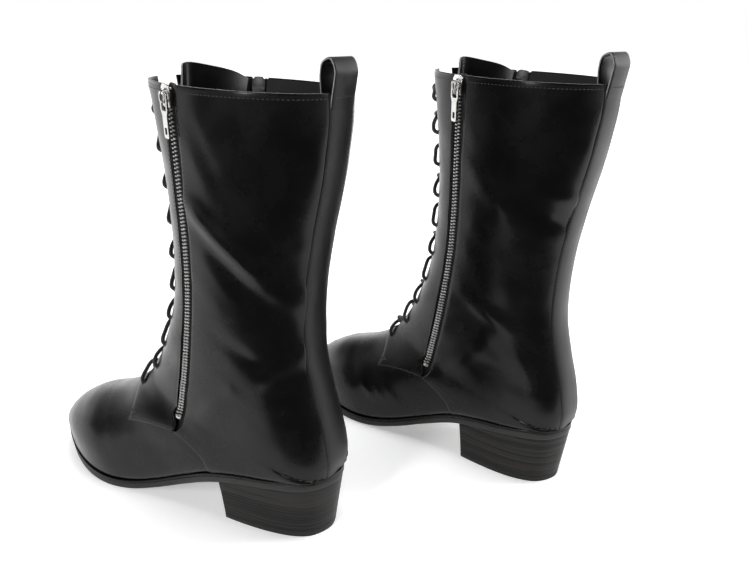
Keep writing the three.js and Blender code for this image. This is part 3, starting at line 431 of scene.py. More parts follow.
# Soft folds as strokes in side view: x and z of both ends, half width, height (mm, out is positive).
FOLDS = {
    ("left", 1): [
        (72, 242, 30, 203, 7.0, 2.4), (30, 203, -6, 160, 8.0, 2.0), (62, 218, 22, 178, 9.0, -1.6),
        (92, 76, 52, 112, 6.0, 2.0), (52, 112, 6, 143, 7.0, 1.7), (88, 62, 40, 92, 10.0, -1.5),
        (60, 150, 20, 128, 6.0, -0.8), (28, 262, 6, 215, 7.0, 0.7), (55, 285, 40, 245, 7.0, -0.5),
        (128, 128, 104, 140, 4.0, 0.7), (132, 108, 112, 120, 4.0, -0.6), (150, 46, 118, 52, 7.0, -0.8),
        (176, 40, 150, 56, 6.0, 0.6),
    ],
    ("left", -1): [
        (66, 205, 20, 172, 6.0, 1.1), (60, 128, 14, 150, 6.0, 1.0), (84, 92, 44, 104, 7.0, -0.9),
        (40, 262, 10, 236, 7.0, 0.7), (126, 126, 108, 138, 4.0, 0.6), (168, 44, 140, 52, 6.0, 0.6),
    ],
    ("right", -1): [
        (64, 252, 30, 214, 9.0, 1.5), (8, 238, -6, 224, 5.0, 1.4), (10, 218, -4, 206, 5.0, -1.2),
        (70, 152, 32, 128, 7.0, 1.8), (86, 78, 50, 116, 6.0, 1.7), (60, 98, 22, 86, 9.0, -1.4),
        (24, 116, 11, 79, 6.0, 0.9),
        (174, 40, 160, 30, 3.0, 1.1), (162, 42, 148, 31, 3.0, 1.0), (150, 44, 138, 34, 3.0, 0.9),
        (128, 128, 106, 140, 4.0, 0.7),
    ],
    ("right", 1): [
        (64, 218, 24, 180, 6.0, 1.2), (80, 84, 44, 112, 6.0, 1.0), (56, 146, 16, 130, 6.0, -0.8),
        (40, 270, 14, 240, 7.0, 0.6), (128, 126, 106, 138, 4.0, 0.6), (176, 42, 148, 54, 6.0, 0.6),
    ],
}


def folds(foot, points):
    """How far the leather stands in or out at each point."""
    x, y, z = points[..., 0], points[..., 1], points[..., 2]
    total = np.zeros(x.shape)
    for side in (1, -1):
        weight = 1 / (1 + np.exp(-side * y / 3.0))
        for x0, z0, x1, z1, half, height in FOLDS[(foot, side)]:
            dx, dz = x1 - x0, z1 - z0
            s = np.clip(((x - x0) * dx + (z - z0) * dz) / (dx * dx + dz * dz), 0, 1)
            d2 = (x - x0 - s * dx) ** 2 + (z - z0 - s * dz) ** 2
            taper = 0.35 + 0.65 * np.sin(math.pi * np.clip(s, 0.08, 0.92))
            total += weight * height * taper * np.exp(-d2 / (half * half))
    ripple = np.sin(x * 0.21 + 1.3 * np.sin(z * 0.083)) * np.sin(z * 0.117 + 0.9 * np.sin(x * 0.06))
    shaft = np.clip((z - 120) / 60, 0, 1)
    return total + 0.16 * ripple * (0.3 + 0.7 * shaft)


# ---------------------------------------------------------------- meshes


class Build:
    """Gathers points and faces of one piece."""

    def __init__(self):
        self.points, self.faces, self.slots = [], [], []
        self.count = 0

    def add(self, points, faces, slot=0):
        points = np.asarray(points, float).reshape(-1, 3)
        self.points.append(points)
        for f in faces:
            self.faces.append([k + self.count for k in f])
            self.slots.append(slot)
        self.count += len(points)

    def sheet(self, outer, inner, edge_slot=0, top_slot=None):
        """A closed sheet between two grids of points. Its rim and its first row's rim can take
        other materials."""
        rows, cols = outer.shape[:2]
        n = rows * cols
        top = lambda i, j: i * cols + j
        low = lambda i, j: n + i * cols + j
        faces, rim = [], []
        for i in range(rows - 1):
            for j in range(cols - 1):
                faces.append((top(i, j), top(i + 1, j), top(i + 1, j + 1), top(i, j + 1)))
                faces.append((low(i, j), low(i, j + 1), low(i + 1, j + 1), low(i + 1, j)))
        for i in range(rows - 1):
            rim.append((top(i, 0), low(i, 0), low(i + 1, 0), top(i + 1, 0)))
            rim.append((top(i, cols - 1), top(i + 1, cols - 1), low(i + 1, cols - 1), low(i, cols - 1)))
        for j in range(cols - 1):
            rim.append((top(0, j), top(0, j + 1), low(0, j + 1), low(0, j)))
            rim.append((top(rows - 1, j), low(rows - 1, j), low(rows - 1, j + 1), top(rows - 1, j + 1)))
        start = len(self.faces)
        self.add(np.concatenate([outer.reshape(-1, 3), inner.reshape(-1, 3)]), faces + rim)
        for k in range(start + len(faces), len(self.faces)):
            self.slots[k] = edge_slot
        if top_slot is not None:
            for k in range(start + len(faces) + 2 * (rows - 1), len(self.faces), 2):
                self.slots[k] = top_slot


FEET = {"left": 1, "right": -1}
TURN = math.radians(90 - 5.95)
ORIGINS = {"left": (75.5, 71.2402), "right": (-75.5, 182.7402)}


def foot_matrix(foot):
    """From one boot's frame in millimetres to the row's frame in metres."""
    flip = FEET[foot]
    x, y = ORIGINS[foot]
    heading = -math.pi / 2 + flip * (math.pi / 2 - TURN)
    place = Matrix.Translation((x / 1000, y / 1000, 0)) @ Matrix.Rotation(heading, 4, "Z")
    return place @ Matrix.Diagonal((0.001, 0.001 * flip, 0.001, 1))


def make(foot, name, build, materials, body="pair", nodes=(), smooth=True, merge=1e-6):
    matrix = foot_matrix(foot)
    points = np.concatenate(build.points)
    m = np.array(matrix)
    world = points @ m[:3, :3].T + m[:3, 3]
    faces = build.faces if FEET[foot] > 0 else [f[::-1] for f in build.faces]
    mesh = bpy.data.meshes.new(name)
    mesh.from_pydata(world.tolist(), [], faces)
    for material in materials:
        mesh.materials.append(material)
    mesh.polygons.foreach_set("material_index", build.slots)
    bm = bmesh.new()
    bm.from_mesh(mesh)
    bmesh.ops.remove_doubles(bm, verts=bm.verts, dist=merge)
    bmesh.ops.recalc_face_normals(bm, faces=bm.faces)
    bm.to_mesh(mesh)
    bm.free()
    mesh.polygons.foreach_set("use_smooth", [smooth] * len(mesh.polygons))
    if smooth:
        mesh.set_sharp_from_angle(angle=math.radians(50))
    piece = bpy.data.objects.new(f"{foot}_{name}", mesh)
    bpy.context.scene.collection.objects.link(piece)
    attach(piece, body)
    if nodes:
        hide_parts(*[f"{foot}_{n}" for n in nodes])
    return piece


# ---------------------------------------------------------------- materials


def new_material(name, **values):
    material = bpy.data.materials.new(name)
    material.use_nodes = True
    tree = material.node_tree
    shader = tree.nodes["Principled BSDF"]
    for key, value in values.items():
        shader.inputs[key.replace("_", " ")].default_value = value
    return material, tree, shader


def node(tree, kind, inputs=(), **settings):
    made = tree.nodes.new(kind)
    for key, value in settings.items():
        setattr(made, key, value)
    for key, value in dict(inputs).items():
        if isinstance(value, bpy.types.NodeSocket):
            tree.links.new(value, made.inputs[key])
        else:
            made.inputs[key].default_value = value
    return made


def ramp(tree, source, stops):
    made = tree.nodes.new("ShaderNodeValToRGB")
    tree.links.new(source, made.inputs[0])
    elements = made.color_ramp.elements
    while len(elements) < len(stops):
        elements.new(0.5)
    for element, (at, colour) in zip(elements, stops):
        element.position = at
        element.color = (*colour, 1) if len(colour) == 3 else colour
    return made.outputs["Color"]


def noise(tree, where, scale, detail, roughness=0.5):
    values = {"Vector": where, "Scale": scale, "Detail": detail, "Roughness": roughness}
    return node(tree, "ShaderNodeTexNoise", values).outputs["Fac"]


def remap(tree, value, start, end, low, high):
    values = {"Value": value, "From Min": start, "From Max": end, "To Min": low, "To Max": high}
    return node(tree, "ShaderNodeMapRange", values).outputs["Result"]


def bumps(tree, height, strength, distance, under=None):
    values = {"Height": height, "Strength": strength, "Distance": distance}
    if under:
        values["Normal"] = under
    return node(tree, "ShaderNodeBump", values).outputs["Normal"]


def leather(name, dark=0.0024, rough=(0.2, 0.32), grain=0.09, shine=0.22):
    material, tree, shader = new_material(name, Specular_IOR_Level=shine)
    where = node(tree, "ShaderNodeTexCoord").outputs["Object"]
    cloud = noise(tree, where, 38.0, 5.0, 0.6)
    fine = noise(tree, where, 620.0, 3.0, 0.55)
    pores = node(tree, "ShaderNodeTexVoronoi", {"Vector": where, "Scale": 1150.0, "Randomness": 1.0})
    creases = node(
        tree, "ShaderNodeTexVoronoi", {"Vector": where, "Scale": 210.0, "Randomness": 1.0},
        feature="DISTANCE_TO_EDGE",
    )
    colour = ramp(
        tree, cloud,
        [(0.3, (dark * 0.75, dark * 0.75, dark * 0.8)), (0.7, (dark * 1.4, dark * 1.35, dark * 1.35))],
    )
    tree.links.new(colour, shader.inputs["Base Color"])
    tree.links.new(remap(tree, cloud, 0.3, 0.7, *rough), shader.inputs["Roughness"])
    edge = remap(tree, creases.outputs["Distance"], 0.0, 0.09, 0.0, 1.0)
    bump = bumps(tree, edge, grain * 0.5, 0.00006)
    bump = bumps(tree, pores.outputs["Distance"], grain, 0.00005, bump)
    bump = bumps(tree, fine, grain, 0.0001, bump)
    tree.links.new(bump, shader.inputs["Normal"])
    return material


def plain(name, colour, spread, rough, scale=90.0, bump=0.2, depth=0.0001, **values):
    """A surface with cloudy colour and roughness and a fine bump."""
    material, tree, shader = new_material(name, **values)
    where = node(tree, "ShaderNodeTexCoord").outputs["Object"]
    cloud = noise(tree, where, scale, 6.0, 0.65)
    low = [c * (1 - spread) for c in colour]
    high = [c * (1 + spread) for c in colour]
    tree.links.new(ramp(tree, cloud, [(0.3, low), (0.7, high)]), shader.inputs["Base Color"])
    tree.links.new(remap(tree, cloud, 0.3, 0.7, *rough), shader.inputs["Roughness"])
    fine = noise(tree, where, scale * 14, 3.0)
    tree.links.new(bumps(tree, fine, bump, depth), shader.inputs["Normal"])
    return material


def stacked(name):
    """Stacked leather heel: thin layers, each a little different, with fine scratches along them."""
    material, tree, shader = new_material(name, Specular_IOR_Level=0.17)
    where = node(tree, "ShaderNodeTexCoord").outputs["Object"]
    flat = node(tree, "ShaderNodeMapping", {"Vector": where, "Scale": (14.0, 14.0, 900.0)})
    lines = noise(tree, flat.outputs["Vector"], 1.0, 4.0, 0.7)
    thick = node(tree, "ShaderNodeMapping", {"Vector": where, "Scale": (4.0, 4.0, 300.0)})
    layers = noise(tree, thick.outputs["Vector"], 1.0, 2.0)
    both = node(tree, "ShaderNodeMath", {0: lines, 1: layers}, operation="ADD")
    colour = ramp(
        tree, both.outputs["Value"],
        [(0.78, (0.002, 0.0019, 0.0018)), (1.0, (0.005, 0.0047, 0.0044)), (1.2, (0.014, 0.013, 0.012))],
    )
    tree.links.new(colour, shader.inputs["Base Color"])
    tree.links.new(remap(tree, lines, 0.3, 0.7, 0.34, 0.58), shader.inputs["Roughness"])
    tree.links.new(bumps(tree, both.outputs["Value"], 0.5, 0.0003), shader.inputs["Normal"])
    return material


def woven(name, colour, pitch, rough=0.85, sheen=0.3):
    """Woven cloth: two fine waves at right angles."""
    material, tree, shader = new_material(
        name, Roughness=rough, Sheen_Weight=sheen, Specular_IOR_Level=0.25
    )
    where = node(tree, "ShaderNodeTexCoord").outputs["Object"]
    warp, weft = (
        node(
            tree, "ShaderNodeTexWave",
            {"Vector": where, "Scale": times / pitch, "Distortion": 0.6}, bands_direction=way,
        ).outputs["Fac"]
        for times, way in ((1, "Z"), (0.8, "DIAGONAL"))
    )
    both = node(tree, "ShaderNodeMath", {0: warp, 1: weft}, operation="MULTIPLY").outputs["Value"]
    low = [c * 0.45 for c in colour]
    tree.links.new(ramp(tree, both, [(0.1, low), (0.8, colour)]), shader.inputs["Base Color"])
    tree.links.new(bumps(tree, both, 0.6, 0.0002), shader.inputs["Normal"])
    return material


def metal(name, colour, rough):
    return plain(name, colour, 0.06, rough, scale=160.0, bump=0.08, depth=0.00005, Metallic=1.0)


LEATHER = leather("polished_leather")
STRIP_LEATHER = leather("strip_leather", dark=0.005, rough=(0.34, 0.46), grain=0.14, shine=0.26)
CUT_EDGE = plain("cut_edge", (0.16, 0.16, 0.165), 0.35, (0.55, 0.75), scale=300.0, bump=0.4)
DARK_EDGE = plain("dark_edge", (0.02, 0.02, 0.021), 0.3, (0.45, 0.6), scale=300.0, bump=0.3)
LINING = plain(
    "lining_leather", (0.008, 0.0078, 0.0076), 0.3, (0.6, 0.78), scale=120.0, bump=0.35,
    Specular_IOR_Level=0.25,
)
THREAD = plain("thread", (0.012, 0.0125, 0.016), 0.4, (0.4, 0.6), scale=900.0, bump=0.6, depth=0.0002)
WELT_EDGE = plain(
    "glossy_welt", (0.003, 0.003, 0.003), 0.3, (0.2, 0.3), scale=60.0, bump=0.1, Specular_IOR_Level=0.15,
)
SOLE_EDGE = plain(
    "sole_edge", (0.012, 0.0118, 0.0115), 0.3, (0.4, 0.52), scale=70.0, bump=0.3, Specular_IOR_Level=0.3,
)
SOLE_BOTTOM = plain(
    "sole_bottom", (0.03, 0.028, 0.026), 0.35, (0.6, 0.8), scale=50.0, bump=0.5, depth=0.0003,
)
HEEL_STACK = stacked("stacked_heel")
RUBBER = plain(
    "heel_rubber", (0.007, 0.0068, 0.0066), 0.25, (0.5, 0.66), scale=140.0, bump=0.4,
    Specular_IOR_Level=0.3,
)
TAPE = woven("zip_tape_weave", (0.008, 0.008, 0.009), 0.0011, sheen=0.05)
NICKEL = metal("nickel", (0.6, 0.59, 0.58), (0.18, 0.3))
TOOTH = metal("tooth_metal", (0.62, 0.61, 0.6), (0.24, 0.4))
LACE = woven("waxed_lace", (0.012, 0.012, 0.0125), 0.0012, rough=0.42, sheen=0.05)
# Painted shade: the slider's back plate is coloured black to stand in for the shade it sits in, behind the
# tape inside the boot.
SLIDER_BACK_SHADE = plain("slider_back_painted_shade", (0.008, 0.008, 0.008), 0.2, (0.3, 0.4), Specular_IOR_Level=0.3)

add_camera()
add_studio()
add_floor()
add_backdrop()

# ---------------------------------------------------------------- seams, shared with the CAD model

STRIP_HALF = 12.5
EDGE_FROM_FRONT = 9.0
HOLE_FROM_EDGE = 9.0
HOLES = 10
THROAT = 13.6
ZIP_OPENING = 12.0
ZIP_END = 12.0
ZIP_X = [74, 76, 78.6, 81.2, 84.6, 89, 94, 99, 103.4, 106.6, 108.5, 109.4, 110.2, 110.8]
VAMP_SEAM = [
    (162, 61), (150, 63.5), (136, 65), (122, 65.4), (112, 64.4), (104.5, 61.6), (95, 56), (86, 49.6),
]
UPPER_T = 1.4
TONGUE_TOP = -0.32
TONGUE_SLIDE = 34.0


@functools.cache
def zip_u(t, side, distance=0.0):
    x = float(np.interp(t, range(len(ZIP_X)), ZIP_X))
    return u_at_x(t, x, side) + side * distance / float(girth(t, side))


def zip_edge(side, distance, t0=0.0, t1=ZIP_END + 0.2):
    return [(t, zip_u(t, side, distance)) for t in np.linspace(t0, t1, 40)]


def front_edge(side, t0, t1, n=40, distance=EDGE_FROM_FRONT):
    return [(t, side * distance / float(girth(t, side))) for t in np.linspace(t0, t1, n)]


@functools.cache
def sole_edge_at(y, side):
    low, high = float(HEEL), HEEL + 2.0
    for _ in range(26):
        mid = (low + high) / 2
        if station(mid)[9 if side > 0 else 10] < y:
            low = mid
        else:
            high = mid
    return low


def moved(pairs, dt):
    return [(t + dt, u) for t, u in pairs]


SEAM = {}
for side in (1, -1):
    dense = []
    for (x0, z0), (x1, z1) in zip(VAMP_SEAM[:-1], VAMP_SEAM[1:]):
        dense += [(x0 + f * (x1 - x0), z0 + f * (z1 - z0)) for f in (0, 1 / 3, 2 / 3)]
    dense.append(VAMP_SEAM[-1])
    located = [locate(x, z, side) for x, z in dense]
    located.append((located[-1][0] + 0.55, float(side)))
    SEAM[side] = located
SPLIT = 12  # where the zip's foot meets the seam


def relief(edge, lift, drop=0.42):
    """Height of a panel's outer face: rounded over along its rim."""
    return lift - drop * np.clip(1 - edge / RIM[-1], 0, 1) ** 2


def panel(build, foot, grid, edge, lift=0.0, thick=UPPER_T, edge_slot=0, top_slot=None):
    t, u = grid[..., 0], grid[..., 1]
    bend = folds(foot, surf(t, u))
    outer = surf(t, u, relief(edge, lift) + bend)
    inner = surf(t, u, lift - thick + bend)
    build.sheet(outer, inner, edge_slot, top_slot)


def on_leather(foot, t, u, out, calm=0.0):
    """A point on the folded leather."""
    t, u = np.asarray(t, float), np.asarray(u, float)
    return surf(t, u, out + folds(foot, surf(t, u)) * (1 - calm))


def stitches(build, foot, pairs, out, pitch=2.7, length=1.9, radius=0.27, calm=0.0):
    """A row of thread stitches along a run of t and u."""
    total = run_length(pairs)
    n = max(2, int(total / pitch))
    mids = resample(pairs, (np.arange(n) + 0.5) / n)
    ends = [resample(pairs, (np.arange(n) + 0.5 + s * 0.5 * length / pitch) / n) for s in (-1, 1)]
    a = on_leather(foot, ends[0][:, 0], ends[0][:, 1], out, calm)
    b = on_leather(foot, ends[1][:, 0], ends[1][:, 1], out, calm)
    up = normal(mids[:, 0], mids[:, 1])
    along = b - a
    along /= np.linalg.norm(along, axis=1, keepdims=True)
    across = np.cross(up, along)
    sides = 6
    rings = ((0.0, 0.35), (0.2, 0.95), (0.8, 0.95), (1.0, 0.35))
    faces = []
    for r in range(len(rings) - 1):
        for k in range(sides):
            k2 = (k + 1) % sides
            faces.append((r * sides + k, r * sides + k2, (r + 1) * sides + k2, (r + 1) * sides + k))
    faces.append(tuple(range(sides))[::-1])
    faces.append(tuple((len(rings) - 1) * sides + k for k in range(sides)))
    for i in range(n):
        points = []
        for f, scale in rings:
            centre = a[i] + f * (b[i] - a[i])
            sink = -0.12 if f in (0.0, 1.0) else 0.0
            for k in range(sides):
                w = 2 * math.pi * k / sides
                high = math.sin(w) * radius * 0.8 * scale + sink
                ring = across[i] * math.cos(w) * radius * scale + up[i] * high
                points.append(centre + ring)
        build.add(points, faces)


def tube(build, path, radius, sides=8, caps=True, slot=0):
    """A round tube along points, with a frame carried along it. radius is a number or one per point."""
    path = np.asarray(path, float)
    n = len(path)
    radii = np.broadcast_to(np.asarray(radius, float), (n,))
    tangent = np.gradient(path, axis=0)
    tangent /= np.linalg.norm(tangent, axis=1, keepdims=True)
    ref = np.cross(tangent[0], (0.31, 0.77, 0.55))
    ref /= np.linalg.norm(ref)
    points = []
    for i in range(n):
        ref = ref - tangent[i] * ref.dot(tangent[i])
        ref /= np.linalg.norm(ref)
        other = np.cross(tangent[i], ref)
        for k in range(sides):
            w = 2 * math.pi * k / sides
            points.append(path[i] + radii[i] * (math.cos(w) * ref + math.sin(w) * other))
    faces = []
    for i in range(n - 1):
        for k in range(sides):
            k2 = (k + 1) % sides
            faces.append((i * sides + k, i * sides + k2, (i + 1) * sides + k2, (i + 1) * sides + k))
    if caps:
        faces.append(tuple(range(sides))[::-1])
        faces.append(tuple((n - 1) * sides + k for k in range(sides)))
    build.add(points, faces, slot)


def smooth_path(points, per=8):
    """A centripetal Catmull-Rom curve through points."""
    p = np.asarray(points, float)
    p = np.concatenate([[2 * p[0] - p[1]], p, [2 * p[-1] - p[-2]]])
    out = []
    for i in range(1, len(p) - 2):
        a, b, c, d = p[i - 1], p[i], p[i + 1], p[i + 2]
        t0 = 0.0
        t1 = t0 + max(np.linalg.norm(b - a), 1e-6) ** 0.5
        t2 = t1 + max(np.linalg.norm(c - b), 1e-6) ** 0.5
        t3 = t2 + max(np.linalg.norm(d - c), 1e-6) ** 0.5
        for t in np.linspace(t1, t2, per, endpoint=False):
            a1 = (t1 - t) / (t1 - t0) * a + (t - t0) / (t1 - t0) * b
            a2 = (t2 - t) / (t2 - t1) * b + (t - t1) / (t2 - t1) * c
            a3 = (t3 - t) / (t3 - t2) * c + (t - t2) / (t3 - t2) * d
            b1 = (t2 - t) / (t2 - t0) * a1 + (t - t0) / (t2 - t0) * a2
            b2 = (t3 - t) / (t3 - t1) * a2 + (t - t1) / (t3 - t1) * a3
            out.append((t2 - t) / (t2 - t1) * b1 + (t - t1) / (t2 - t1) * b2)
    out.append(p[-2])
    return np.array(out)


# ---------------------------------------------------------------- upper

PITCH = 3.0


def lace_holes(side):
    line = [
        (t, side * (EDGE_FROM_FRONT + HOLE_FROM_EDGE) / float(girth(t, side)))
        for t in np.linspace(0.75, THROAT - 0.6, 41)
    ]
    return spaced(line, HOLES - 1)


def facing_edges(side):
    foot_of_zip = locate(113.4, 66.6, side)
    rear = zip_edge(side, -ZIP_OPENING / 2) + [foot_of_zip]
    seam = moved(SEAM[side][:SPLIT], 0.06)
    corner = seam[0]
    front = front_edge(side, 0, THROAT) + [corner]
    top = [front[0], rear[0]]
    bottom = seam + [foot_of_zip]
    return top, bottom, front, rear


def cut_holes(piece, foot, side):
    """Punched lace holes through a facing."""
    cutter = Build()
    for t, u in lace_holes(side):
        centre, n = surf(t, u), normal(t, u)
        tube(cutter, [centre - 5 * n, centre + 5 * n], 1.75, sides=14)
    tool = make(foot, "hole_cutter", cutter, [CUT_EDGE], smooth=False)
    change = piece.modifiers.new("holes", "BOOLEAN")
    change.operation = "DIFFERENCE"
    change.object = tool
    whole = sum(face.area for face in piece.data.polygons)
    for solver in ("MANIFOLD", "EXACT"):
        change.solver = solver
        bpy.context.view_layer.update()
        deps = bpy.context.evaluated_depsgraph_get()
        done = bpy.data.meshes.new_from_object(piece.evaluated_get(deps))
        # Ten small holes change the area by very little; a cut that went wrong changes it a lot.
        if 0.9 * whole < sum(face.area for face in done.polygons) < 1.02 * whole:
            break
    piece.modifiers.clear()
    old = piece.data
    piece.data = done
    bpy.data.meshes.remove(old)
    bpy.data.objects.remove(tool)


def add_facing(foot, word, side):
    top, bottom, front, rear = facing_edges(side)
    grid, edge = fill(top, bottom, front, rear, PITCH)
    build = Build()
    panel(build, foot, grid, edge, lift=0.45, edge_slot=2, top_slot=1)
    piece = make(
        foot, f"{word}_facing_leather", build, [LEATHER, CUT_EDGE, DARK_EDGE],
        nodes=[f"{word}_facing"],
    )
    cut_holes(piece, foot, side)
    rims = Build()
    for t, u in lace_holes(side):
        n = normal(t, u)
        centre = on_leather(foot, t, u, 0.32)
        a = np.cross(n, (0, 0, 1))
        a /= np.linalg.norm(a)
        b = np.cross(n, a)
        ring = [centre + 2.1 * (math.cos(w) * a + math.sin(w) * b) for w in np.linspace(0, 2 * math.pi, 19)]
        tube(rims, ring, 0.32, sides=6, caps=False)
    make(foot, f"{word}_hole_rims", rims, [DARK_EDGE])


def add_quarter(foot, word, side):
    lower = moved(SEAM[side][SPLIT:], 0.04)
    front = zip_edge(side, ZIP_OPENING / 2) + [lower[0]]
    gap = 0.2
    strip_end = sole_edge_at(STRIP_HALF - gap, side)
    sole = [(t, float(side)) for t in np.linspace(lower[-1][0], strip_end, 30)]
    back = [(t, u_at_back(t, side * (STRIP_HALF - gap))) for t in np.linspace(0, HEEL + 0.3, 40)]
    back.append((strip_end, float(side)))
    grid, edge = fill([front[0], back[0]], lower + sole[1:], front, back, PITCH)
    build = Build()
    panel(build, foot, grid, edge, lift=0.45, edge_slot=2, top_slot=1)
    make(
        foot, f"{word}_quarter_leather", build, [LEATHER, CUT_EDGE, DARK_EDGE],
        nodes=[f"{word}_quarter"],
    )


def add_back_strip(foot):
    half = STRIP_HALF + 0.8
    rows = shares(255, PITCH)
    cols = shares(2 * half, PITCH)
    outer = np.zeros((len(rows), len(cols), 3))
    inner = outer.copy()
    for i, s in enumerate(rows):
        for j, c in enumerate(cols):
            y = half * (1 - 2 * c)
            side = 1 if y >= 0 else -1
            stop = HEEL if abs(y) < 0.05 else sole_edge_at(abs(y), side)
            t = s * stop
            u = 1.0 if abs(y) < 0.05 else u_at_back(t, y)
            if s > 0.9999:
                u = side * 1.0
            edge = min(min(s, 1 - s) * 255, min(c, 1 - c) * 2 * half)
            bend = 0.35 * float(folds(foot, surf(t, u)))
            steady = min(t, HEEL - 0.5)
            out = normal(steady, side * 1.0 if abs(y) < 0.05 else u_at_back(steady, y))
            out[2] *= max(0.0, 1 - max(0.0, t - HEEL + 1.0))
            outer[i, j] = surf(t, u) + out * (relief(edge, 0.95, 0.5) + bend)
            inner[i, j] = surf(t, u) + out * (0.3 + bend)
    build = Build()
    build.sheet(outer, inner, 1)
    make(
        foot, "back_strip_leather", build, [STRIP_LEATHER, DARK_EDGE],
        nodes=["back_strip"],
    )
    thread = Build()
    for sign in (1, -1):
        for inset in (2.2,):
            line = [(t, u_at_back(t, sign * (half - inset))) for t in np.linspace(0.25, HEEL - 0.1, 60)]
            stitches(thread, foot, line, 1.0, calm=0.65)
    make(foot, "back_strip_stitching", thread, [THREAD])


def add_vamp(foot):
    def edge_run(side):
        throat = front_edge(side, THROAT - 0.35, THROAT - 0.35, 2)[0]
        seam = moved(SEAM[side][:-1], -0.22)
        return [(THROAT - 0.35, 0.0), throat] + seam + [(SEAM[side][-1][0] - 0.1, float(side))]

    out, inn = edge_run(1), edge_run(-1)

    def sampled(run):
        drop = run[1:3]
        parts = [resample(run[:2], np.linspace(0, 1, 5))]
        parts.append(resample(drop, np.linspace(0, 1, 9))[1:])
        parts.append(resample(run[2:], np.linspace(0, 1, 40))[1:])
        return np.concatenate(parts)

    a, b = sampled(out), sampled(inn)
    start = np.concatenate([b[1:][::-1], a])
    cols = len(start) - 1
    ends = [0, 0.004, 0.01], [0.925, 0.95, 0.97, 0.985, 0.995, 1.0]
    rows = np.concatenate([ends[0], np.linspace(0.02, 0.9, 60), ends[1]])
    tip = LAST - 0.03
    across = np.linspace(-1, 1, cols + 1)
    grid = np.zeros((len(rows), cols + 1, 2))
    for i, s in enumerate(rows):
        blendin = min(1.0, s * 1.6)
        grid[i, :, 0] = start[:, 0] + s * (tip - start[:, 0])
        grid[i, :, 1] = start[:, 1] + blendin * (across - start[:, 1])
    edge = np.full(grid.shape[:2], 9.0)
    build = Build()
    panel(build, foot, grid, edge, lift=-0.15, thick=1.2)
    make(foot, "vamp_leather", build, [LEATHER, DARK_EDGE], nodes=["vamp"])


def add_seam_stitching(foot):
    thread = Build()
    for side in (1, -1):
        # along the facing's lower edge and up from the throat
        stitches(thread, foot, moved(SEAM[side][:SPLIT], -0.16), 0.42)
        stitches(thread, foot, front_edge(side, 0.3, THROAT - 0.3, distance=EDGE_FROM_FRONT + 2.6), 0.42)
        # both sides of the zip
        for distance in (-ZIP_OPENING / 2 - 2.2, ZIP_OPENING / 2 + 2.2):
            stitches(thread, foot, zip_edge(side, distance, 0.25, ZIP_END + 0.1), 0.4)
        # the quarter's lower front edge, two rows
        for dt in (-0.14, -0.36):
            run = moved(SEAM[side][SPLIT + 1 : -1], dt)
            stitches(thread, foot, run, 0.36)
        # the top line
        u0, u1 = zip_u(0.1, side, 8.5), u_at_back(0.1, side * (STRIP_HALF + 2))
        stitches(thread, foot, [(0.15, u) for u in np.linspace(u0, u1, 30)], 0.42)
        u0, u1 = front_edge(side, 0.1, 0.1, 2, 11.0)[0][1], zip_u(0.1, side, -8.5)
        stitches(thread, foot, [(0.15, u) for u in np.linspace(u0, u1, 12)], 0.45)
    make(foot, "upper_stitching", thread, [THREAD])
    # bar tack at the throat
    tack = Build()
    for side in (1, -1):
        t0, u0 = SEAM[side][0]
        for k in range(7):
            t = t0 - 0.5 - 0.05 * k
            run = [(t, u0 * (0.78 + 0.0)), (t, u0 * 0.9)]
            stitches(tack, foot, run, 0.5, pitch=3.0, length=2.6, radius=0.24)
    make(foot, "throat_bar_tacks", tack, [THREAD])


def add_tongue(foot, lean):
    rows = np.concatenate([[0, 0.001, 0.003, 0.006], np.linspace(0.012, 0.985, 84), [0.995, 1.0]])
    cols = np.concatenate([[-1, -0.99, -0.97, -0.94], np.linspace(-0.88, 0.88, 25), [0.94, 0.97, 0.99, 1]])
    outer = np.zeros((len(rows), len(cols), 3))
    inner = outer.copy()
    for i, s in enumerate(rows):
        t = TONGUE_TOP + s * (THROAT + 0.6 - TONGUE_TOP)
        slide = TONGUE_SLIDE * max(0.0, 1 - s * 2.2) ** 1.5
        half = 27 - 5 * s
        for j, a in enumerate(cols):
            d = a * half + lean * slide
            side = -1 if d < 0 else 1
            fall = 0.14 * abs(a) ** 4 + 0.12 * (1 + a * lean)
            at = t + fall * max(0.0, 1 - s * 5)
            u = d / float(girth(max(at, 0), side))
            rim = min(s * 260, (1 - abs(a)) * half)
            wave = 0.7 * math.sin(s * 21 + a * 1.7) * max(0.0, 1 - s * 1.2)
            curl = -5.0 * max(0.0, 1 - s * 6) * max(0.0, -a * lean) ** 4
            deep = -5.9 + wave * 0.5 + curl
            outer[i, j] = surf(at, u, deep - 0.4 * max(0.0, 1 - rim / 0.9) ** 2)
            inner[i, j] = surf(at, u, deep - 1.9)
    build = Build()
    build.sheet(outer, inner, 1)
    make(foot, "tongue_leather", build, [LEATHER, CUT_EDGE], nodes=["tongue"])


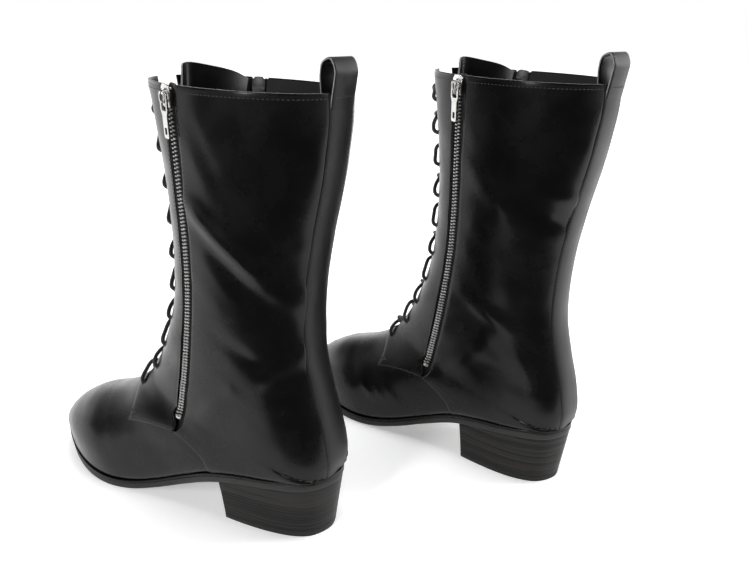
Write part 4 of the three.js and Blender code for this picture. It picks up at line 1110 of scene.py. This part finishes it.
def add_lining(foot):
    """The lining: one sheet round the foot, and sheets between the openings higher up."""
    thick = 0.9

    def depth(t):
        top = 1.5
        shaft, foot_depth = 3.3, 4.15
        d = top + (shaft - top) * np.clip(t / 0.45, 0, 1)
        k = np.clip((t - 4) / 3.6, 0, 1)
        return d + (foot_depth - shaft) * k * k * (3 - 2 * k)

    build = Build()

    def strip(ts, left, right, n):
        across = np.linspace(0, 1, n)
        grid = np.array([[(t, l + (r - l) * c) for c in across] for t, l, r in zip(ts, left, right)])
        t, u = grid[..., 0], grid[..., 1]
        outer, inner = surf(t, u, -depth(t)), surf(t, u, -depth(t) - thick)
        build.sheet(outer, inner)

    ts = np.linspace(0.03, 3.85, 30)
    clear = 6.0
    for side in (1, -1):
        strip(ts, [side * 24 / float(girth(t, side)) for t in ts], [zip_u(t, side, -clear) for t in ts], 12)
    strip(ts, [zip_u(t, 1, clear) for t in ts], [2 + zip_u(t, -1, clear) for t in ts], 50)
    ts = np.linspace(3.85, HEEL - 0.05, 40)
    strip(ts, [24 / float(girth(t, 1)) for t in ts], [2 - 24 / float(girth(t, -1)) for t in ts], 80)
    # round the foot, down to the insole and forward to the toe
    ts = np.linspace(HEEL - 0.05, LAST - 1.2, 60)
    for side in (1, -1):
        front = [side * (24 / float(girth(t, side)) if t < THROAT + 0.9 else 0.0) for t in ts]
        strip(ts, front, [side * 0.97 for _ in ts], 26)
    make(foot, "lining_sheet", build, [LINING], nodes=["lining"])


def add_pull_tab(foot):
    top_z = 306.0
    line = smooth_path(
        [
            (-18.5 + x, c, top_z + z)
            for x, z, c in [
                (-0.2, -9, 1), (-1.5, -2, 1), (-2.8, 6, 0.8), (-3.0, 12.5, 0.4), (0.4, 18.6, 0.15),
                (5.2, 16.8, 0.2), (6.8, 10.5, 0.4), (6.2, 3, 0.8), (5.4, -5, 1), (4.9, -16, 1),
            ]
        ],
        per=10,
    )
    bend = 1 / 105
    half = 12.6
    tangent = np.gradient(line[:, [0, 2]], axis=0)
    tangent /= np.linalg.norm(tangent, axis=1, keepdims=True)
    cols = np.concatenate([[-1, -0.985, -0.95, -0.9], np.linspace(-0.8, 0.8, 13), [0.9, 0.95, 0.985, 1]])
    faces = {}
    for sign in (1, -1):
        grid = np.zeros((len(line), len(cols), 3))
        for j, c in enumerate(cols):
            y = c * half
            round_over = 0.45 * max(0.0, (abs(c) - 0.9) / 0.1) ** 2
            off = sign * (0.8 - round_over)
            grid[:, j, 0] = line[:, 0] - tangent[:, 1] * off + line[:, 1] * bend * y * y
            grid[:, j, 1] = y
            grid[:, j, 2] = line[:, 2] + tangent[:, 0] * off
        faces[sign] = grid
    build = Build()
    build.sheet(faces[1], faces[-1], 1)
    make(
        foot, "pull_tab_leather", build, [STRIP_LEATHER, CUT_EDGE],
        nodes=["pull_tab"],
    )
    thread = Build()
    ys = np.linspace(-half + 1.5, half - 1.5, 10)
    for z_off in (-2.6,):
        for y0, y1 in zip(ys[:-1], ys[1:]):
            a = np.array((-18.5 - 1.5 - 0.95 + bend * y0 * y0, y0 + 0.3, top_z + z_off))
            b = np.array((-18.5 - 1.5 - 0.95 + bend * y1 * y1, y1 - 0.3, top_z + z_off))
            tube(thread, [a, (a + b) / 2 - (0.12, 0, 0), b], [0.12, 0.3, 0.12], sides=6)
    make(foot, "pull_tab_stitching", thread, [THREAD])


# ---------------------------------------------------------------- lace


def add_lace(foot):
    edge = EDGE_FROM_FRONT
    hole = EDGE_FROM_FRONT + HOLE_FROM_EDGE
    radius = 1.5
    under = -UPPER_T - radius - 0.6
    ts = {side: [float(t) for t, _ in lace_holes(side)] for side in (1, -1)}

    def at(t, distance, side, out):
        return surf(t, side * distance / float(girth(max(t, 0), side)), out)

    def crossings(start, low_lift, high_lift):
        points = []
        side = start
        for k in range(HOLES - 1, 0, -1):
            lift = high_lift + (low_lift - high_lift) * k / (HOLES - 1)
            low, high = ts[side][k], ts[-side][k - 1]
            part = lambda f: low + f * (high - low)
            slack = 1 - k / (HOLES - 1)  # the lace is looser towards the top
            points += [
                at(low, hole - 0.3, side, 0.6),
                at(part(0.05), hole - 2.6, side, 2.1 + 2.0 * slack),
                at(part(0.24), edge, side, 2.6 + 4.0 * slack),
                at(part(0.5), 0.01, side, lift),
                at(part(0.66), edge - 3.4, -side, -0.6),
                at(part(0.78), edge, -side, under),
                at(part(0.94), hole - 3.0, -side, under - 0.3),
                at(high, hole, -side, under + 0.6),
            ]
            side = -side
        top = ts[side][0]
        lift = high_lift - 1.5
        points += [
            at(top, hole - 0.3, side, 0.6),
            at(top - 0.06, hole - 2.6, side, 2.9),
            at(top - 0.2, edge, side, 4.0),
            at(top - 0.34, 0.01, side, lift),
            at(top - 0.44, edge - 3.4, -side, -0.6),
            at(top - 0.5, edge, -side, under),
            at(top - 0.56, hole - 3, -side, under),
        ]
        return points

    low_t = ts[1][HOLES - 1]
    bar = [at(low_t + 0.12, abs(d), 1 if d > 0 else -1, under) for d in (-hole, -edge, 0.01, edge, hole)]
    route = crossings(-1, 1.5, 7.2)[::-1] + bar + crossings(1, 4.4, 10.6)
    build = Build()
    tube(build, smooth_path(route, 7), radius, sides=10)
    make(foot, "lace_cord", build, [LACE], nodes=["lace"])


# ---------------------------------------------------------------- zip


def zip_frame(side):
    point = lambda t: surf(t, zip_u(t, side))
    start = point(0.24)
    down = point(3.2) - point(0.05)
    down /= np.linalg.norm(down)
    outward = sum(normal(t, zip_u(t, side)) for t in (0.4, 1.6, 2.8))
    outward = outward - down * outward.dot(down)
    outward /= np.linalg.norm(outward)
    return start, np.cross(down, outward), down, outward


def add_zip(foot, word, side):
    tape = Build()
    ts = np.linspace(0.04, ZIP_END + 0.6, 90)
    us = np.array([[zip_u(t, side, d) for d in np.linspace(-11, 11, 13)] for t in ts])
    t = np.repeat(ts[:, None], 13, axis=1)
    bend = 0.0 * t
    tape.sheet(surf(t, us, -2.05 + bend), surf(t, us, -2.6 + bend))
    make(foot, f"{word}_zip_tape_cloth", tape, [TAPE], nodes=[f"{word}_zip_tape"])
    # teeth, two rows that mesh
    line = [(t, zip_u(t, side)) for t in np.linspace(0.42, ZIP_END, 200)]
    total = run_length(line)
    pitch = 2.5
    n = int(total / pitch)
    teeth = Build()
    for row in (-1, 1):
        mids = resample(line, (np.arange(n) + (0.25 if row < 0 else 0.75)) / n)
        ahead = resample(line, np.clip((np.arange(n) + (0.25 if row < 0 else 0.75)) / n + 0.002, 0, 1))
        behind = resample(line, np.clip((np.arange(n) + (0.25 if row < 0 else 0.75)) / n - 0.002, 0, 1))
        c = surf(mids[:, 0], mids[:, 1], -0.55)
        up = normal(mids[:, 0], mids[:, 1])
        along = surf(ahead[:, 0], ahead[:, 1]) - surf(behind[:, 0], behind[:, 1])
        along /= np.linalg.norm(along, axis=1, keepdims=True)
        across = np.cross(along, up) * row
        for i in range(n):
            points, faces = tooth(c[i], across[i], along[i], up[i])
            teeth.add(points, faces)
    # end stops
    for t_end in (0.1, ZIP_END + 0.08):
        u = zip_u(t_end, side)
        n_, c_ = normal(t_end, u), surf(t_end, u, -0.5)
        d_ = surf(t_end + 0.05, zip_u(t_end + 0.05, side)) - surf(t_end, u)
        d_ /= np.linalg.norm(d_)
        a_ = np.cross(d_, n_)
        for s in (-1, 1) if t_end < 1 else (0,):
            width = 1.1 if t_end < 1 else 2.2
            points, faces = rounded_block(c_ + a_ * s * 1.7, a_ * width, d_ * 1.0, n_ * 0.7)
            teeth.add(points, faces)
    make(
        foot, f"{word}_zip_teeth", teeth, [TOOTH],
        nodes=[f"{word}_zip_chain"], merge=1e-8,
    )
    add_slider(foot, word, side)


def rounded_block(c, a, b, n):
    """A block with chamfered edges; a, b and n are its half sizes as vectors."""
    points, faces = [], []
    levels = ((-1, 0.8), (-0.7, 1.0), (0.6, 1.0), (1, 0.72))
    corners = ((-1, -0.7), (-0.7, -1), (0.7, -1), (1, -0.7), (1, 0.7), (0.7, 1), (-0.7, 1), (-1, 0.7))
    for h, scale in levels:
        for p, q in corners:
            points.append(c + a * p * scale + b * q * scale + n * h)
    m = len(corners)
    for r in range(len(levels) - 1):
        for k in range(m):
            k2 = (k + 1) % m
            faces.append((r * m + k, r * m + k2, (r + 1) * m + k2, (r + 1) * m + k))
    faces.append(tuple(range(m))[::-1])
    faces.append(tuple((len(levels) - 1) * m + k for k in range(m)))
    return points, faces


def tooth(c, across, along, up):
    """One metal tooth: a narrow bar from the tape's bead in to the middle, with a rounded top."""
    points, faces = [], []
    inner, outer = 0.42, 2.75
    profile = ((-0.5, 0.0), (-0.55, 0.7), (-0.34, 1.15), (0.34, 1.15), (0.55, 0.7), (0.5, 0.0))
    stations_ = ((inner, 0.82), (inner + 0.5, 1.0), (outer - 0.7, 0.92), (outer, 0.7))
    for d, scale in stations_:
        for b, h in profile:
            points.append(c + across * d + along * b * scale + up * h * scale)
    m = len(profile)
    for r in range(len(stations_) - 1):
        for k in range(m):
            k2 = (k + 1) % m
            faces.append((r * m + k, r * m + k2, (r + 1) * m + k2, (r + 1) * m + k))
    faces.append(tuple(range(m))[::-1])
    faces.append(tuple((len(stations_) - 1) * m + k for k in range(m)))
    return points, faces


def plate_mesh(outline, holes, thick, bevel):
    """Points and faces of a flat plate with holes and rounded edges, from a filled curve."""
    curve = bpy.data.curves.new("plate", "CURVE")
    curve.dimensions = "2D"
    curve.fill_mode = "BOTH"
    curve.extrude = thick / 2 - bevel
    curve.bevel_depth = bevel
    curve.bevel_resolution = 2
    curve.offset = -bevel
    for ring in [outline, *holes]:
        spline = curve.splines.new("POLY")
        spline.points.add(len(ring) - 1)
        for point, (x, y) in zip(spline.points, ring):
            point.co = (x, y, 0, 1)
        spline.use_cyclic_u = True
    holder = bpy.data.objects.new("plate", curve)
    bpy.context.scene.collection.objects.link(holder)
    deps = bpy.context.evaluated_depsgraph_get()
    mesh = bpy.data.meshes.new_from_object(holder.evaluated_get(deps))
    points = [tuple(v.co) for v in mesh.vertices]
    faces = [tuple(p.vertices) for p in mesh.polygons]
    bpy.data.objects.remove(holder)
    bpy.data.curves.remove(curve)
    bpy.data.meshes.remove(mesh)
    return points, faces


def rounded_rect(x0, x1, y0, y1, r):
    ring = []
    left, right, low, high = x0 + r, x1 - r, y0 + r, y1 - r
    for cx, cy, w0 in ((right, high, 0), (left, high, 90), (left, low, 180), (right, low, 270)):
        for w in np.linspace(w0, w0 + 90, 5):
            ring.append((cx + r * math.cos(math.radians(w)), cy + r * math.sin(math.radians(w))))
    return ring


PLATE_TOP = -2.05 + 0.3 + 2.3 + 0.45 + 1
PIVOT_Y, PIVOT_Z = -1.6, PLATE_TOP + 1.4


def add_slider(foot, word, side):
    start, across, down, outward = zip_frame(side)

    def placed(points):
        return [start + across * x + down * y + outward * z for x, y, z in points]

    build = Build()
    half = [(3.0, -6.5), (4.9, -3.2), (4.5, 2.0), (3.9, 6.3)]
    face = [(-3.0, -6.5)] + half + [(-x, y) for x, y in half[:0:-1]]
    ring = smooth_path([(x, y, 0) for x, y in face + [face[0]]], 4)[:-1, :2]
    points, faces = plate_mesh([tuple(p) for p in ring], [], 1.1, 0.3)
    build.add(placed([(x, y, z + PLATE_TOP - 0.5) for x, y, z in points]), faces)
    for x in (-3.75, 3.75):
        p, f = rounded_block(np.array((x, 1.0, 0.6)), *np.diag((0.5, 4.6, 1.6)))
        build.add(placed(p), f)
    # the back plate takes the black painted shade for where it sits behind the tape
    p, f = plate_mesh([tuple(q) for q in ring], [], 1.0, 0.25)
    build.add(placed([(x, y, z - 3.6) for x, y, z in p]), f, slot=1)
    # the bail that holds the puller
    bail = smooth_path(
        [(0, -3.6, PLATE_TOP - 0.4), (0, -3.7, PLATE_TOP + 1.6), (0, -2.6, PLATE_TOP + 3.3),
         (0, 0, PLATE_TOP + 3.7),
         (0, 2.6, PLATE_TOP + 3.3), (0, 3.6, PLATE_TOP + 1.6), (0, 3.5, PLATE_TOP - 0.4)], 5)
    band = Build()
    for dx in (-0.55, 0.0, 0.55):
        tube(band, placed([(dx, y, z) for _, y, z in bail]), 0.55, sides=8)
    build.add(np.concatenate(band.points), band.faces)
    make(
        foot, f"{word}_slider_metal", build, [NICKEL, SLIDER_BACK_SHADE], body=f"{foot}_{word}_slider",
        nodes=[f"{word}_zip_slider"], merge=1e-8,
    )

    outline = [
        (-4.0, 0.4), (-3.3, -0.7), (3.3, -0.7), (4.0, 0.4), (4.0, 9.6), (2.8, 13.4), (2.75, 25.4),
        (2.1, 26.6), (-2.1, 26.6), (-2.75, 25.4), (-2.8, 13.4), (-4.0, 9.6),
    ]
    eye = rounded_rect(-2.35, 2.35, 0.75, 10.2, 0.8)
    slot_hole = rounded_rect(-1.0, 1.0, 20.2, 24.2, 0.35)
    p, f = plate_mesh(outline, [eye, slot_hole], 1.25, 0.22)
    tag = Build()
    tag.add(placed([(x, y + PIVOT_Y, z + PIVOT_Z) for x, y, z in p]), f)
    make(
        foot, f"{word}_puller_metal", tag, [NICKEL], body=f"{foot}_{word}_puller",
        nodes=[f"{word}_zip_puller"], merge=1e-8,
    )


# ---------------------------------------------------------------- sole and heel

WELT_T, OUTSOLE_T, OUTSOLE_OUT = 2.0, 5.4, 1.0
WELT_TOP = 0.25
OUTSOLE_TOP = 0.6 + WELT_T + 0.3
HEEL_FRONT = 75.0
TOP_LIFT = 5.0


def sole_outline(out, n=150):
    """The sole's edge pushed out: two runs of x, y and the edge's height."""
    start, end = float(HEEL), LAST - 0.015
    ts = start + (end - start) * np.linspace(0, 1, n) ** 1.15
    ts = np.unique(np.concatenate([ts, np.linspace(LAST - 1.4, end, 24)]))
    rows = np.array([station(float(t)) for t in ts])
    runs = []
    for side, c in ((1, 9), (-1, 10)):
        p = np.stack([rows[:, 2], side * rows[:, c]], 1)
        tangent = np.gradient(p, axis=0)
        tangent[0] = (0, side)
        tangent /= np.maximum(np.linalg.norm(tangent, axis=1, keepdims=True), 1e-9)
        q = p + out * side * np.stack([-tangent[:, 1], tangent[:, 0]], 1)
        runs.append(np.concatenate([q, rows[:, 3:4]], 1))
    return runs


def sole_layer(build, levels, bottom_slot=0):
    """A layer of the sole from levels of (outset, drop below the edge line)."""
    rings = []
    for out, drop in levels:
        a, b = sole_outline(out)
        ring = np.concatenate([a, b[::-1]])
        ring[:, 2] -= drop
        rings.append(ring)
    m = len(rings[0])
    points = np.concatenate(rings)
    sides = []
    for r in range(len(levels) - 1):
        for k in range(m):
            k2 = (k + 1) % m
            sides.append((r * m + k, r * m + k2, (r + 1) * m + k2, (r + 1) * m + k))
    half = m // 2
    base = (len(levels) - 1) * m
    top = [(k, k + 1, m - 2 - k, m - 1 - k) for k in range(half - 1)]
    low = [(base + k, base + m - 1 - k, base + m - 2 - k, base + k + 1) for k in range(half - 1)]
    start = len(build.faces)
    build.add(points, sides + top + low)
    for k in range(start + len(sides) + len(top), len(build.faces)):
        build.slots[k] = bottom_slot


def heel_ring(z, inset):
    """The heel's outline at a height, tapering from the seat to the foot."""
    a, b = sole_outline(OUTSOLE_OUT - 0.4 - inset, n=300)
    keep_a = a[a[:, 0] < HEEL_FRONT]
    keep_b = b[b[:, 0] < HEEL_FRONT]
    pick = lambda run: run[np.unique(np.round(np.linspace(0, len(run) - 1, 26)).astype(int))]
    ka, kb = pick(keep_a), pick(keep_b)
    size = min(len(ka), len(kb))
    ka, kb = ka[:size], kb[:size]
    ring = np.concatenate([ka, kb[::-1]])
    back = ring[0, 0]
    ring[size - 1, 0] = ring[size, 0] = HEEL_FRONT - inset
    seat = ring[:, 2] - (OUTSOLE_TOP + OUTSOLE_T) - 0.02
    out = np.zeros((len(ring), 3))
    height = z if z is not None else seat
    share = np.clip(height / seat, 0, 1)
    foot_x = 0.5 + (ring[:, 0] - back) / (HEEL_FRONT - back) * (HEEL_FRONT - 0.5)
    out[:, 0] = foot_x + share * (ring[:, 0] - foot_x)
    waist = 1 - 0.012 * np.sin(math.pi * share)
    out[:, 1] = ring[:, 1] * (0.87 + 0.13 * share) * waist
    out[:, 2] = np.minimum(height, seat)
    return out


def ring_stack(build, rings, slot=0):
    m = len(rings[0])
    points = np.concatenate(rings)
    faces = []
    for r in range(len(rings) - 1):
        for k in range(m):
            k2 = (k + 1) % m
            faces.append((r * m + k, r * m + k2, (r + 1) * m + k2, (r + 1) * m + k))
    half = m // 2
    base = (len(rings) - 1) * m
    faces += [(k, m - 1 - k, m - 2 - k, k + 1) for k in range(half - 1)]
    faces += [(base + k, base + k + 1, base + m - 2 - k, base + m - 1 - k) for k in range(half - 1)]
    build.add(points, faces, slot)


def add_sole(foot):
    build = Build()
    bead = [(0.9, -0.1), (1.45, 0.25), (1.65, 0.9), (1.5, 1.7), (1.0, 2.25)]
    bead = [(out, WELT_TOP + drop) for out, drop in bead]
    sole_layer(build, [(-9, WELT_TOP)] + bead + [(-9, OUTSOLE_TOP - 0.15)])
    make(foot, "welt_strip", build, [WELT_EDGE], nodes=["welt"])
    build = Build()
    top, low = OUTSOLE_TOP - 0.1, OUTSOLE_TOP + OUTSOLE_T
    sole_layer(
        build,
        [
            (-6, top), (0.5, top), (0.85, top + 0.3), (1.0, top + 0.8),
            (1.05, low - 1.2), (0.85, low - 0.5), (0.3, low - 0.08), (-0.5, low),
        ],
        bottom_slot=1,
    )
    make(foot, "outsole_layer", build, [SOLE_EDGE, SOLE_BOTTOM], nodes=["outsole"])
    # stacked heel: thin layers with a shallow groove between them
    rings = []
    z = TOP_LIFT + 0.25
    rings.append(heel_ring(z, 0.5))
    layer = 2.75
    while z < 33.5:
        step = min(layer, 33.8 - z)
        for dz, inset in ((0.02, 0.16), (0.14, 0.02), (0.3, 0.0), (step - 0.3, 0.0), (step - 0.12, 0.02)):
            rings.append(heel_ring(z + dz, inset))
        z += step
    rings.append(heel_ring(None, 0.1))
    m = min(len(r) for r in rings)
    build = Build()
    ring_stack(build, [r for r in rings if len(r) == m])
    make(foot, "heel_layers", build, [HEEL_STACK], nodes=["heel_stack"])
    build = Build()
    lift = ((0.0, 0.8), (0.25, 0.25), (0.7, 0.0), (4.5, 0.0), (4.85, 0.12), (5.0, 0.4))
    rings = [heel_ring(z, inset) for z, inset in lift]
    m = min(len(r) for r in rings)
    ring_stack(build, [r for r in rings if len(r) == m])
    make(foot, "top_lift_rubber", build, [RUBBER], nodes=["top_lift"])


for foot, lean in (("left", -1), ("right", 1)):
    for word, side in (("outer", 1), ("inner", -1)):
        add_facing(foot, word, side)
        add_quarter(foot, word, side)
        add_zip(foot, word, side)
    add_back_strip(foot)
    add_vamp(foot)
    add_seam_stitching(foot)
    add_tongue(foot, lean)
    add_lining(foot)
    add_pull_tab(foot)
    add_lace(foot)
    add_sole(foot)

# ---------------------------------------------------------------- CAD nodes that stay, with finishes

INSIDE = {
    "heel_counter": SOLE_BOTTOM, "toe_puff": SOLE_BOTTOM, "insole_board": SOLE_BOTTOM,
    "sole_filler": SOLE_BOTTOM, "shank": NICKEL, "sock_liner": LINING,
}
for name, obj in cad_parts.items():
    for part, material in INSIDE.items():
        if name.endswith(part):
            obj = obj if isinstance(obj, bpy.types.Object) else bpy.data.objects[name]
            obj.data.materials.clear()
            obj.data.materials.append(material)
